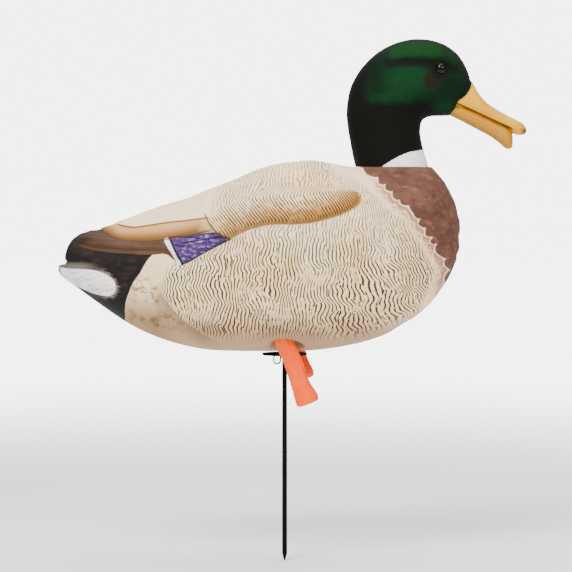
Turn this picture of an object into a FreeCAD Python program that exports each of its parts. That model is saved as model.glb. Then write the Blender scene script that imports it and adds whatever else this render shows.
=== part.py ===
import FreeCAD, Part
import math
import os
import Sketcher
from FreeCAD import Placement, Rotation, Vector

# Full-body mallard drake field decoy on a ground stake, in millimetres.
# +X is forward (the bill), +Y is the bird's left, +Z is up.
# The origin is on the stake's axis, at the line where it meets the ground.

doc = FreeCAD.newDocument("field_duck_decoy")

DIMENSIONS = {
    # stake and plate
    "stake_depth": 155.0,
    "stake_radius": 2.5,
    "tip_length": 7.0,
    "tip_radius": 0.4,
    "shoulder_height": 52.0,
    "spigot_radius": 2.0,
    "spigot_top": 207.9,
    "plate_radius": 22.5,
    "plate_thickness": 2.0,
    "retainer_radius": 5.5,
    "retainer_thickness": 0.8,
    "bail_wire": 0.75,
    "bail_inner": 5.0,
    "bail_drop": 9.0,
    "bail_offset": 7.5,
    # pivot
    "pivot_height": 215.0,
    "cap_radius": 7.0,
    "cap_length": 32.0,
    "pin_radius": 1.5,
    "pin_length": 29.0,
    "run_gap": 0.03,
    "seat_gap": 0.05,
    # motion tower and belly
    "wall": 3.0,
    "solid_tail_end": -190.0,
    "belly_hole": 17.5,
    "grommet_bore": 15.0,
    "grommet_face": 57.2,
    "pad_radius": 27.0,
    "pad_top": 63.5,
    "foot_radius": 25.3,
    "foot_thickness": 4.0,
    "tower_base_bore": 15.5,
    "tower_top_bore": 12.0,
    "tower_wall": 2.5,
    "tower_top": 230.0,
    "screw_radius": 1.4,
    "screw_head": 2.9,
    "screw_head_depth": 1.6,
    "tower_screw_circle": 21.5,
    "tower_screw_face": 57.6,
    # neck joint
    "neck_place": 107.0,
    "neck_seam": 240.0,
    "seat_thickness": 3.2,
    "seat_bore": 20.0,
    "ring_radius": 30.0,
    "ring_thickness": 3.2,
    "notch_radius": 25.2,
    "ring_screw_circle": 26.8,
    "face_gap": 0.3,
    "hub_radius": 19.6,
    "hub_drop": 11.0,
    "lug_radius": 24.6,
    "lug_thickness": 3.0,
    "lug_width": 11.0,
    "plug_radius": 26.0,
    "plug_thickness": 3.0,
    "plug_screw_circle": 23.0,
    # eyes
    "eye_radius": 5.0,
    "eye_stem": 6.0,
    "eye_forward": 154.4,
    "eye_height": 336.8,
    # legs
    "leg_spread": 38.0,
    "leg_radius": 9.2,
    "leg_end_radius": 10.8,
    "leg_spigot_radius": 6.0,
    "leg_spigot_length": 17.0,
    "leg_boss_radius": 12.4,
    "leg_play": 1.2,
    "clip_height": 11.0,
    "clip_thickness": 1.2,
    "right_leg_length": 69.0,
    "right_leg_tilt": 20.7,
    "right_leg_forward": 23.5,
    "right_leg_height": 6.3,
    "left_leg_length": 46.0,
    "left_leg_tilt": 13.0,
    "left_leg_forward": 19.0,
    "left_leg_height": 25.0,
}

sheet = doc.addObject("Spreadsheet::Sheet", "dims")
for row, (alias, value) in enumerate(DIMENSIONS.items(), start=1):
    sheet.set(f"A{row}", alias)
    sheet.set(f"B{row}", str(value))
    sheet.setAlias(f"B{row}", alias)
doc.recompute()

# Cross-sections of the body, square to X: place along X, lowest point, level of the widest point,
# highest point and half width. The ends close on the breast point and on the tail's edge.
BODY_SECTIONS = [
    (-224.0, 131.5, 137.0, 142.5, 13.0),
    (-216.0, 125.5, 143.0, 161.0, 25.0),
    (-205.0, 117.5, 144.0, 171.5, 33.0),
    (-180.0, 99.5, 140.0, 178.5, 43.0),
    (-145.0, 78.0, 135.0, 193.0, 56.0),
    (-100.0, 61.5, 135.0, 208.0, 71.0),
    (-50.0, 56.6, 140.0, 227.5, 81.5),
    (0.0, 56.6, 143.0, 244.0, 86.0),
    (45.0, 58.6, 147.0, 244.0, 85.0),
    (85.0, 67.0, 155.0, 241.0, 79.0),
    (115.0, 81.5, 165.0, 243.5, 69.0),
    (140.0, 99.0, 173.0, 243.0, 54.5),
    (157.0, 119.5, 175.0, 226.5, 38.0),
    (169.0, 143.5, 175.0, 205.0, 19.0),
]
BREAST_POINT = (174.5, 175.0)
BODY_ROUNDNESS = 2.25

# Cross-sections of the neck, level, from the seam up into the head: height, rearmost and foremost
# place along X, and half width.
NECK_SECTIONS = [
    (240.3, 70.5, 143.5, 32.0),
    (255.0, 67.0, 138.8, 29.5),
    (272.0, 63.4, 135.4, 27.0),
    (290.0, 61.6, 136.0, 26.0),
    (308.0, 62.4, 132.0, 24.0),
    (322.0, 68.0, 124.0, 17.0),
]

# Cross-sections of the head, square to X, in the same terms as the body's.
HEAD_SECTIONS = [
    (66.0, 291.0, 303.0, 317.0, 9.0),
    (74.0, 284.0, 305.0, 334.5, 16.5),
    (88.0, 281.0, 309.0, 351.0, 21.5),
    (106.0, 281.0, 312.0, 361.2, 24.5),
    (128.0, 283.0, 314.0, 366.8, 26.5),
    (148.0, 288.5, 314.0, 365.2, 26.0),
    (164.0, 290.5, 314.0, 358.5, 21.5),
    (176.0, 293.0, 314.0, 346.0, 15.5),
    (183.5, 299.0, 314.0, 332.5, 9.5),
]
HEAD_BACK = (62.6, 302.0)
HEAD_FRONT = (187.0, 315.0)
HEAD_ROUNDNESS = 2.15

# Cross-sections of the two halves of the bill, square to X.
UPPER_BILL_SECTIONS = [
    (166.0, 300.0, 306.0, 324.0, 10.5),
    (183.0, 295.8, 302.0, 324.0, 10.8),
    (194.0, 290.6, 295.0, 312.4, 11.0),
    (206.0, 285.0, 288.5, 301.2, 11.4),
    (220.0, 279.6, 282.5, 292.4, 12.0),
    (232.0, 274.0, 277.5, 286.4, 11.0),
    (238.6, 272.6, 276.0, 281.4, 6.5),
]
LOWER_BILL_SECTIONS = [
    (164.0, 291.0, 296.5, 302.0, 9.5),
    (180.0, 283.8, 292.0, 296.6, 9.8),
    (196.0, 275.6, 285.5, 289.2, 10.0),
    (210.0, 266.8, 279.0, 283.0, 10.4),
    (221.0, 258.8, 272.0, 278.6, 8.0),
]
UPPER_BILL_TIP = (241.2, 276.2)
LOWER_BILL_TIP = (226.0, 265.0)
# Radius, rear end, front end and height of the round tenon behind the bill.
BILL_TENON = (4.0, 148.0, 172.0, 307.0)

# How far the flat seat on the body stands out round the neck's base.
SEAT_RIM = 0.7

# Half the distance between the rims of the two eyes.
EYE_SIDE = 22.0


def size(alias):
    """The value of one driving dimension."""
    return float(sheet.get(alias))


def bind(item, **properties):
    """Bind properties of a document object to expressions over the sheet."""
    for name, formula in properties.items():
        item.setExpression(name, formula)


def place(item, x="0 mm", y="0 mm", z="0 mm", axis=None, angle="0 deg"):
    """Bind the placement of a document object: its position, and a turn about one axis."""
    item.setExpression(".Placement.Base.x", x)
    item.setExpression(".Placement.Base.y", y)
    item.setExpression(".Placement.Base.z", z)
    if axis:
        item.Placement.Rotation = Rotation(Vector(*axis), 1.0)
        item.setExpression(".Placement.Rotation.Angle", angle)
    return item


def cylinder(name, radius, height, **where):
    item = doc.addObject("Part::Cylinder", name)
    bind(item, Radius=radius, Height=height)
    return place(item, **where)


def cone(name, low_radius, high_radius, height, **where):
    item = doc.addObject("Part::Cone", name)
    bind(item, Radius1=low_radius, Radius2=high_radius, Height=height)
    return place(item, **where)


def block(name, length, width, height, **where):
    item = doc.addObject("Part::Box", name)
    bind(item, Length=length, Width=width, Height=height)
    return place(item, **where)


def join(name, items):
    item = doc.addObject("Part::MultiFuse", name)
    item.Shapes = items
    return item


def cut(name, base, tools):
    item = doc.addObject("Part::Cut", name)
    item.Base = base
    item.Tool = tools[0] if len(tools) == 1 else join(name + "_tools", tools)
    return item


def group(name, items):
    item = doc.addObject("Part::Compound", name)
    item.Links = items
    return item


def revolved(name, corners):
    """A PartDesign body turned about Z from a closed outline of (radius, height) expressions."""
    body = doc.addObject("PartDesign::Body", name)
    plane = next(f for f in body.Origin.OriginFeatures if f.Role == "XZ_Plane")
    sketch = body.newObject("Sketcher::SketchObject", name + "_profile")
    sketch.AttachmentSupport = (plane, [""])
    sketch.MapMode = "FlatFace"
    doc.recompute()
    spots = [Vector(evaluate(radius), evaluate(height), 0) for radius, height in corners]
    count = len(spots)
    for i in range(count):
        sketch.addGeometry(Part.LineSegment(spots[i], spots[(i + 1) % count]), False)
    for i in range(count):
        sketch.addConstraint(Sketcher.Constraint("Coincident", i, 2, (i + 1) % count, 1))
    for i, (radius, height) in enumerate(corners):
        if radius == "0":
            sketch.addConstraint(Sketcher.Constraint("PointOnObject", i, 1, -2))
        else:
            index = sketch.addConstraint(Sketcher.Constraint("DistanceX", -1, 1, i, 1, spots[i].x))
            sketch.setExpression(f"Constraints[{index}]", f"({radius}) * 1 mm")
        index = sketch.addConstraint(Sketcher.Constraint("DistanceY", -1, 1, i, 1, spots[i].y))
        sketch.setExpression(f"Constraints[{index}]", f"({height}) * 1 mm")
    turn = body.newObject("PartDesign::Revolution", name + "_turned")
    turn.Profile = sketch
    turn.ReferenceAxis = (sketch, ["V_Axis"])
    turn.Angle = 360.0
    body.Tip = turn
    return body


def evaluate(formula):
    """The number that an expression over the sheet gives."""
    names = {alias: size(alias) for alias in DIMENSIONS}
    return float(formula_value(formula, names))


def formula_value(formula, names):
    """Sums and differences of terms, where a term is a number or a dimension times a number."""
    total = 0.0
    for term in formula.replace("dims.", "").replace("-", "+-").split("+"):
        if not term.strip():
            continue
        product = 1.0
        for factor in term.split("*"):
            factor = factor.strip()
            if factor.startswith("-"):
                product = -product
                factor = factor[1:].strip()
            product *= names[factor] if factor in names else float(factor)
        total += product
    return total


def outline(low, wide, high, half_width, roundness, points=20):
    """Points (side, height) around one cross-section: a super-ellipse whose upper and lower parts
    have their own heights, so that its widest level can lie off its middle."""
    power = 2.0 / roundness
    result = []
    for i in range(points):
        turn = math.tau * (i + 0.5) / points
        side = math.copysign(abs(math.sin(turn)) ** power, math.sin(turn)) * half_width
        rise = abs(math.cos(turn)) ** power
        height = wide + rise * (high - wide) if math.cos(turn) > 0 else wide - rise * (wide - low)
        result.append((side, height))
    return result


def closed_curve(points):
    curve = Part.BSplineCurve()
    curve.interpolate(Points=points, PeriodicFlag=True)
    return Part.Wire([curve.toShape()])


def upright_loft(sections, roundness, front=None, back=None, inset=0.0):
    """A solid through cross-sections square to X, each drawn in by inset, with pointed ends."""
    shapes = []
    if back:
        shapes.append(Part.Vertex(back[0] + inset, 0, back[1]))
    for x, low, wide, high, half_width in sections:
        if min(half_width, wide - low, high - wide) <= inset + 1.0:
            continue
        ring = outline(low + inset, wide, high - inset, half_width - inset, roundness)
        shapes.append(closed_curve([Vector(x, side, height) for side, height in ring]))
    if front:
        shapes.append(Part.Vertex(front[0] - inset, 0, front[1]))
    return Part.makeLoft(shapes, True, False)


def level_loft(sections, inset=0.0):
    """A solid through level elliptical cross-sections, each drawn in by inset."""
    shapes = []
    for height, rear, fore, half_width in sections:
        middle = (rear + fore) / 2
        ring = Part.Ellipse(Vector(middle, 0, height), (fore - rear) / 2 - inset, half_width - inset)
        shapes.append(Part.Wire([ring.toShape()]))
    return Part.makeLoft(shapes, True, False)


def solid_cylinder(radius, low, high, x=0.0, y=0.0):
    return Part.makeCylinder(radius, high - low, Vector(x, y, low))


def feature(name, shape):
    item = doc.addObject("Part::Feature", name)
    item.Shape = shape
    item.Placement = Placement()
    return item


def leg_placement(side):
    """Where a leg's lower end is, and its lean: its axis tilts back as it rises."""
    across = -size("leg_spread") if side == "right" else size("leg_spread")
    foot = Vector(size(side + "_leg_forward"), across, size(side + "_leg_height"))
    return Placement(foot, Rotation(Vector(0, 1, 0), -size(side + "_leg_tilt")))


def leg_tool(side, radius, low, high):
    """A cylinder on a leg's axis, between two distances above its lower end."""
    tool = solid_cylinder(radius, low, high)
    tool.Placement = leg_placement(side)
    return tool


def screw_spots(circle, count=4, x=0.0):
    """Places around a circle, half a step off the X axis."""
    for i in range(count):
        turn = math.tau * (i + 0.5) / count
        yield x + circle * math.cos(turn), circle * math.sin(turn)


def screws(name, circle, head_face, length, head_up, count=4, x=0.0):
    """Countersunk screws around a circle: their flush face, and the way that it looks."""
    items = []
    way = 1 if head_up else -1
    for i, (sx, sy) in enumerate(screw_spots(size(circle), count, x)):
        head = doc.addObject("Part::Cone", f"{name}_head_{i}")
        if head_up:
            bind(head, Radius1="dims.screw_radius", Radius2="dims.screw_head")
            low = head_face - size("screw_head_depth")
        else:
            bind(head, Radius1="dims.screw_head", Radius2="dims.screw_radius")
            low = head_face
        bind(head, Height="dims.screw_head_depth")
        head.Placement = Placement(Vector(sx, sy, low), Rotation())
        shank = doc.addObject("Part::Cylinder", f"{name}_shank_{i}")
        bind(shank, Radius="dims.screw_radius")
        shank.Height = length
        start = head_face - length if way > 0 else head_face
        shank.Placement = Placement(Vector(sx, sy, start), Rotation())
        items.append(join(f"{name}_{i}", [head, shank]))
    return group(name, items)


def screw_holes(circle, head_face, depth, head_up, count=4, x=0.0):
    """The holes that those screws pass, a little larger all round."""
    gap = size("seat_gap")
    shank, head, cone_depth = size("screw_radius"), size("screw_head"), size("screw_head_depth")
    holes = []
    for sx, sy in screw_spots(size(circle), count, x):
        if head_up:
            sink = Part.makeCone(shank + gap, head + gap, cone_depth, Vector(sx, sy, head_face - cone_depth))
            mouth = solid_cylinder(head + gap, head_face, head_face + 3, sx, sy)
            hole = solid_cylinder(shank + gap, head_face - depth, head_face, sx, sy)
        else:
            sink = Part.makeCone(head + gap, shank + gap, cone_depth, Vector(sx, sy, head_face))
            mouth = solid_cylinder(head + gap, head_face - 3, head_face, sx, sy)
            hole = solid_cylinder(shank + gap, head_face, head_face + depth, sx, sy)
        holes += [sink, mouth, hole]
    return holes


def make_stake_rod():
    """A pointed rod with a shoulder for the plate and a thinner spigot above it."""
    return revolved("stake_rod", [
        ("0", "-dims.stake_depth"),
        ("dims.tip_radius", "-dims.stake_depth"),
        ("dims.stake_radius", "-dims.stake_depth + dims.tip_length"),
        ("dims.stake_radius", "dims.shoulder_height"),
        ("dims.spigot_radius", "dims.shoulder_height"),
        ("dims.spigot_radius", "dims.spigot_top"),
        ("0", "dims.spigot_top"),
    ])


def make_stop_plate():
    """A disc on the rod's shoulder, with two holes for the bail's ends."""
    disc = cylinder("plate_disc", "dims.plate_radius", "dims.plate_thickness", z="dims.shoulder_height")
    bore = cylinder("plate_bore", "dims.spigot_radius + dims.seat_gap", "10 mm", z="dims.shoulder_height - 3")
    tools = [bore]
    for name, sign in (("rear", "-"), ("fore", "+")):
        tools.append(cylinder(
            f"bail_hole_{name}", "dims.bail_wire + dims.seat_gap", "10 mm",
            x=f"-dims.bail_offset {sign} (dims.bail_inner / 2 + dims.bail_wire)",
            z="dims.shoulder_height - 3"))
    rounded = doc.addObject("Part::Fillet", "plate_rounded")
    rounded.Base = disc
    doc.recompute()
    rounded.Edges = [(i + 1, 0.6, 0.6) for i, edge in enumerate(disc.Shape.Edges) if edge.Length > 100]
    return cut("stop_plate", rounded, tools)


def make_plate_retainer():
    """A push nut pressed down on the spigot."""
    return revolved("plate_retainer", [
        ("dims.spigot_radius + dims.seat_gap", "dims.shoulder_height + dims.plate_thickness"),
        ("dims.retainer_radius", "dims.shoulder_height + dims.plate_thickness"),
        ("dims.retainer_radius", "dims.shoulder_height + dims.plate_thickness + dims.retainer_thickness"),
        ("dims.spigot_radius + dims.seat_gap",
         "dims.shoulder_height + dims.plate_thickness + dims.retainer_thickness"),
    ])


def make_tether_loop():
    """A wire bail: a U that hangs under the plate, its two ends up through the plate's holes."""
    wire = size("bail_wire")
    bend = size("bail_inner") / 2 + wire
    middle = -size("bail_offset")
    top = size("shoulder_height") + size("plate_thickness")
    low = size("shoulder_height") - size("bail_drop") + bend
    left, right = Vector(middle - bend, 0, low), Vector(middle + bend, 0, low)
    path = Part.Wire([
        Part.makeLine(Vector(middle - bend, 0, top), left),
        Part.Arc(left, Vector(middle, 0, low - bend), right).toShape(),
        Part.makeLine(right, Vector(middle + bend, 0, top)),
    ])
    ring = Part.Wire([Part.makeCircle(wire, Vector(middle - bend, 0, top), Vector(0, 0, -1))])
    return feature("tether_loop", path.makePipeShell([ring], True, True))


def make_swivel_cap():
    """A nylon cap that turns on the spigot, bored across for the pivot pin."""
    body = revolved("swivel_cap_turned", [
        ("dims.spigot_radius + dims.run_gap", "dims.pivot_height - dims.cap_length + 8"),
        ("dims.cap_radius - 1.5", "dims.pivot_height - dims.cap_length + 8"),
        ("dims.cap_radius", "dims.pivot_height - dims.cap_length + 12"),
        ("dims.cap_radius", "dims.pivot_height + 5"),
        ("dims.cap_radius - 2", "dims.pivot_height + 8"),
        ("0", "dims.pivot_height + 8"),
        ("0", "dims.spigot_top + dims.seat_gap"),
        ("dims.spigot_radius + dims.run_gap", "dims.spigot_top + dims.seat_gap"),
    ])
    bore = cylinder(
        "cap_cross_bore", "dims.pin_radius + dims.run_gap", "40 mm",
        y="20 mm", z="dims.pivot_height", axis=(1, 0, 0), angle="90 deg")
    return cut("swivel_cap", body, [bore])


def make_pivot_pin():
    """The cross pin on which the decoy rocks."""
    return cylinder(
        "pivot_pin", "dims.pin_radius", "dims.pin_length",
        y="dims.pin_length / 2", z="dims.pivot_height", axis=(1, 0, 0), angle="90 deg")


def make_motion_tower():
    """A tapered tube with a flat foot, closed at the top and bored across for the pin."""
    foot = cylinder("tower_foot", "dims.foot_radius", "dims.foot_thickness", z="dims.pad_top")
    skin = cone(
        "tower_skin", "dims.tower_base_bore + dims.tower_wall", "dims.tower_top_bore + dims.tower_wall",
        "dims.tower_top - dims.pad_top", z="dims.pad_top")
    hollow = cone(
        "tower_hollow", "dims.tower_base_bore", "dims.tower_top_bore",
        "dims.tower_top - dims.pad_top - dims.tower_wall", z="dims.pad_top")
    pin_bore = cylinder(
        "tower_pin_bore", "dims.pin_radius + dims.seat_gap", "60 mm",
        y="30 mm", z="dims.pivot_height", axis=(1, 0, 0), angle="90 deg")
    tools = [hollow, pin_bore]
    for i, (x, y) in enumerate(screw_spots(size("tower_screw_circle"))):
        tools.append(cylinder(
            f"foot_hole_{i}", "dims.screw_radius + dims.seat_gap", "dims.foot_thickness + 4",
            x=f"{x} mm", y=f"{y} mm", z="dims.pad_top - 2"))
    return cut("motion_tower", join("tower_solid", [foot, skin]), tools)


def make_belly_grommet():
    """A ring that lines the belly hole, up to the tower's foot."""
    return revolved("belly_grommet", [
        ("dims.grommet_bore", "dims.grommet_face"),
        ("dims.belly_hole - dims.seat_gap", "dims.grommet_face"),
        ("dims.belly_hole - dims.seat_gap", "dims.pad_top"),
        ("dims.grommet_bore", "dims.pad_top"),
    ])


def make_neck_lock_ring():
    """A ring under the neck seat; its two side notches let the plug's lugs through."""
    ring = cylinder(
        "ring_disc", "dims.ring_radius", "dims.ring_thickness",
        x="dims.neck_place", z="dims.neck_seam - dims.seat_thickness - dims.ring_thickness")
    bore = cylinder(
        "ring_bore", "dims.seat_bore", "20 mm", x="dims.neck_place", z="dims.neck_seam - 15")
    notch = block(
        "ring_notch", "dims.lug_width + 2", "dims.notch_radius * 2", "20 mm",
        x="dims.neck_place - dims.lug_width / 2 - 1", y="-dims.notch_radius", z="dims.neck_seam - 15")
    tools = [bore, notch]
    for i, (x, y) in enumerate(screw_spots(size("ring_screw_circle"), x=size("neck_place"))):
        tools.append(cylinder(
            f"ring_hole_{i}", "dims.screw_radius + dims.seat_gap", "20 mm",
            x=f"{x} mm", y=f"{y} mm", z="dims.neck_seam - 15"))
    return cut("neck_lock_ring", ring, tools)


def make_neck_plug():
    """The plug in the neck's base: a flange, a hub, and two lugs fore and aft under the ring."""
    flange = cylinder(
        "plug_flange", "dims.plug_radius", "dims.plug_thickness",
        x="dims.neck_place", z="dims.neck_seam + dims.face_gap")
    hub = cylinder(
        "plug_hub", "dims.hub_radius", "dims.hub_drop + 1",
        x="dims.neck_place", z="dims.neck_seam + dims.face_gap - dims.hub_drop")
    reach = cylinder(
        "lug_reach", "dims.lug_radius", "dims.lug_thickness", x="dims.neck_place",
        z="dims.neck_seam - dims.seat_thickness - dims.ring_thickness - dims.face_gap - dims.lug_thickness")
    strip = block(
        "lug_strip", "dims.lug_radius * 2", "dims.lug_width", "dims.lug_thickness",
        x="dims.neck_place - dims.lug_radius", y="-dims.lug_width / 2",
        z="dims.neck_seam - dims.seat_thickness - dims.ring_thickness - dims.face_gap - dims.lug_thickness")
    lugs = doc.addObject("Part::Common", "plug_lugs")
    lugs.Base, lugs.Tool = reach, strip
    hollow = cylinder(
        "plug_hollow", "dims.hub_radius - 4", "40 mm", x="dims.neck_place", z="dims.neck_seam - 20")
    tools = [hollow]
    spots = screw_spots(size("plug_screw_circle"), x=size("neck_place"))
    for i, (x, y) in enumerate(spots):
        sink = cone(
            f"plug_sink_{i}", "dims.screw_head + dims.seat_gap", "dims.screw_radius + dims.seat_gap",
            "dims.screw_head_depth", x=f"{x} mm", y=f"{y} mm", z="dims.neck_seam + dims.face_gap")
        hole = cylinder(
            f"plug_hole_{i}", "dims.screw_radius + dims.seat_gap", "20 mm",
            x=f"{x} mm", y=f"{y} mm", z="dims.neck_seam")
        tools += [sink, hole]
    return cut("neck_plug", join("plug_solid", [flange, hub, lugs]), tools)


def make_leg(side):
    """A leg stub with a flared, square end, and a grooved spigot that enters the body."""
    length = f"dims.{side}_leg_length"
    leg = revolved(f"{side}_leg", [
        ("0", "0"),
        ("dims.leg_end_radius - 2.5", "0"),
        ("dims.leg_end_radius", "2.5"),
        ("dims.leg_end_radius", "9"),
        ("dims.leg_radius", "22"),
        ("dims.leg_radius + 0.8", length),
        ("dims.leg_spigot_radius", length),
        ("dims.leg_spigot_radius", f"{length} + dims.clip_height"),
        ("dims.leg_spigot_radius - 1.2", f"{length} + dims.clip_height"),
        ("dims.leg_spigot_radius - 1.2", f"{length} + dims.clip_height + dims.clip_thickness + 0.2"),
        ("dims.leg_spigot_radius", f"{length} + dims.clip_height + dims.clip_thickness + 0.2"),
        ("dims.leg_spigot_radius - 1", f"{length} + dims.leg_spigot_length"),
        ("0", f"{length} + dims.leg_spigot_length"),
    ])
    leg.Placement = leg_placement(side)
    return leg


def make_leg_clips():
    """Two open spring clips, one in the groove of each leg's spigot."""
    clips = []
    for side in ("right", "left"):
        ring = doc.addObject("Part::Cylinder", f"{side}_clip_disc")
        bind(ring, Radius="dims.leg_spigot_radius + 3", Height="dims.clip_thickness")
        hole = doc.addObject("Part::Cylinder", f"{side}_clip_bore")
        bind(hole, Radius="dims.leg_spigot_radius - 1.1", Height="dims.clip_thickness + 2")
        hole.Placement.Base = Vector(0, 0, -1)
        slot = doc.addObject("Part::Box", f"{side}_clip_slot")
        bind(slot, Length="dims.leg_spigot_radius + 4", Width="dims.leg_spigot_radius * 1.5")
        bind(slot, Height="dims.clip_thickness + 2")
        slot.Placement.Base = Vector(0, -0.75 * size("leg_spigot_radius"), -1)
        clip = cut(f"{side}_clip", ring, [hole, slot])
        spot = leg_placement(side)
        lift = Vector(0, 0, size(f"{side}_leg_length") + size("clip_height") + 0.1)
        clip.Placement = Placement(spot.multVec(lift), spot.Rotation)
        clips.append(clip)
    return group("leg_clips", clips)


def make_body_shell():
    """The hollow body: walls, a flat neck seat, a belly pad and a boss over each leg's spigot."""
    wall, pad_top, seam = size("wall"), size("pad_top"), size("neck_seam")
    neck_x, seat = size("neck_place"), size("seat_thickness")
    ring_low = seam - seat - size("ring_thickness")
    outer = upright_loft(BODY_SECTIONS, BODY_ROUNDNESS, front=BREAST_POINT)
    inner = upright_loft(BODY_SECTIONS, BODY_ROUNDNESS, front=BREAST_POINT, inset=wall)
    # The tail is moulded solid: its weight balances the head, so that the decoy hangs level.
    inner = inner.cut(Part.makeBox(200, 200, 200, Vector(size("solid_tail_end") - 200, -100, 50)))
    thick = [outer.common(solid_cylinder(size("pad_radius"), 40, pad_top))]
    for side in ("right", "left"):
        length = size(f"{side}_leg_length")
        boss = leg_tool(side, size("leg_boss_radius"), length - 25, length + size("clip_height"))
        thick.append(outer.common(boss))
    rim = NECK_SECTIONS[0]
    rim_length = (rim[2] - rim[1]) / 2 + SEAT_RIM
    rim_curve = Part.Ellipse(Vector(neck_x, 0, ring_low - 3), rim_length, rim[3] + SEAT_RIM)
    rim_face = Part.Face(Part.Wire([rim_curve.toShape()]))
    thick.append(rim_face.extrude(Vector(0, 0, seam - ring_low + 3)))
    shell = outer.cut(inner).fuse(thick)
    removed = [
        solid_cylinder(size("belly_hole"), 40, pad_top + 5),
        solid_cylinder(size("seat_bore"), seam - 20, seam + 20, neck_x),
        solid_cylinder(size("ring_radius") + size("seat_gap"), ring_low - 10, seam - seat, neck_x),
        Part.makeBox(90, 200, 20, Vector(66, -100, seam)),
    ]
    for side in ("right", "left"):
        length = size(f"{side}_leg_length")
        removed.append(leg_tool(side, size("leg_radius") + size("leg_play"), length - 30, length))
        removed.append(leg_tool(side, size("leg_spigot_radius") + size("seat_gap"), length - 1, length + 30))
    removed += screw_holes("tower_screw_circle", size("tower_screw_face"), 30, False)
    removed += screw_holes("ring_screw_circle", seam - 0.1, 12, True, x=neck_x)
    return feature("body_shell", shell.cut(removed))


def head_solid(inset=0.0):
    head = upright_loft(HEAD_SECTIONS, HEAD_ROUNDNESS, HEAD_FRONT, HEAD_BACK, inset)
    return head.fuse(level_loft(NECK_SECTIONS, inset))


def make_head_shell():
    """The hollow head and neck, with a floor for the plug and round sockets for the eyes."""
    wall = size("wall")
    floor = size("neck_seam") + size("face_gap") + size("plug_thickness")
    outer = head_solid()
    hollow = head_solid(wall)
    plate = outer.common(Part.makeBox(120, 120, 3.5, Vector(50, -60, floor)))
    shell = outer.cut(hollow).fuse(plate)
    gap = size("seat_gap")
    removed = [
        solid_cylinder(15.0, floor - 1, floor + 10, size("neck_place")),
        solid_cylinder(size("plug_radius") + gap, floor - 10, floor, size("neck_place")),
    ]
    for x, y in screw_spots(size("plug_screw_circle"), x=size("neck_place")):
        removed.append(solid_cylinder(size("screw_radius") + gap, floor - 1, floor + 8, x, y))
    radius, low, high, height = BILL_TENON
    removed.append(x_cylinder(radius + gap, low - 10, high + 30, height))
    for sign in (-1, 1):
        removed.append(eye_stem(sign, size("eye_radius") + gap, 40))
    return feature("head_shell", shell.cut(removed))


def x_cylinder(radius, low, high, height):
    return Part.makeCylinder(radius, high - low, Vector(low, 0, height), Vector(1, 0, 0))


def eye_stem(sign, radius, length):
    """A cylinder across the head at one eye's place, from near its side outwards."""
    start = Vector(size("eye_forward"), sign * (EYE_SIDE - size("eye_stem")), size("eye_height"))
    return Part.makeCylinder(radius, length, start, Vector(0, sign, 0))


def make_eye(name, sign):
    """A glassy insert: a stem in the socket and a low dome outside."""
    radius = size("eye_radius")
    stem = eye_stem(sign, radius, size("eye_stem"))
    dome_radius = radius * 1.35
    depth = math.sqrt(dome_radius ** 2 - radius ** 2)
    middle = Vector(size("eye_forward"), sign * (EYE_SIDE - depth), size("eye_height"))
    dome = Part.makeSphere(dome_radius, middle).common(eye_stem(sign, radius, 20))
    return feature(name, stem.fuse(dome))


def make_bill():
    """Both halves of the bill in one moulding, with a tenon into the head."""
    upper = upright_loft(UPPER_BILL_SECTIONS, 2.4, front=UPPER_BILL_TIP)
    lower = upright_loft(LOWER_BILL_SECTIONS, 2.4, front=LOWER_BILL_TIP)
    radius, low, high, height = BILL_TENON
    bill = upper.fuse(lower).cut(head_solid())
    return feature("bill", bill.fuse(x_cylinder(radius, low, high + 18, height)))


neck_x = size("neck_place")
plug_face = size("neck_seam") + size("face_gap")
sub_parts = [
    make_stake_rod(),
    make_stop_plate(),
    make_plate_retainer(),
    make_tether_loop(),
    make_swivel_cap(),
    make_pivot_pin(),
    make_motion_tower(),
    make_belly_grommet(),
    screws("tower_screws", "tower_screw_circle", size("tower_screw_face"), 11.0, False),
    make_neck_lock_ring(),
    screws("lock_ring_screws", "ring_screw_circle", size("neck_seam") - 0.1, 8.5, True, x=neck_x),
    make_neck_plug(),
    screws("neck_plug_screws", "plug_screw_circle", plug_face, 6.5, False, x=neck_x),
    make_leg("right"),
    make_leg("left"),
    make_leg_clips(),
    make_body_shell(),
    make_head_shell(),
    make_bill(),
    make_eye("right_eye", -1),
    make_eye("left_eye", 1),
]
doc.recompute()

for item in doc.Objects:
    if "Invalid" in item.State or "Error" in item.State:
        raise RuntimeError(f"{item.Name}: {item.State}")

os.makedirs("parts", exist_ok=True)
for item in sub_parts:
    shape = item.Shape
    if shape.isNull() or not shape.isValid():
        raise RuntimeError(f"{item.Label}: its shape is not valid")
    print(item.Label, "solids", len(shape.Solids), "volume", round(shape.Volume, 1))
    shape.exportStep(f"parts/{item.Label}.step")
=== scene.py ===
import math

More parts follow.
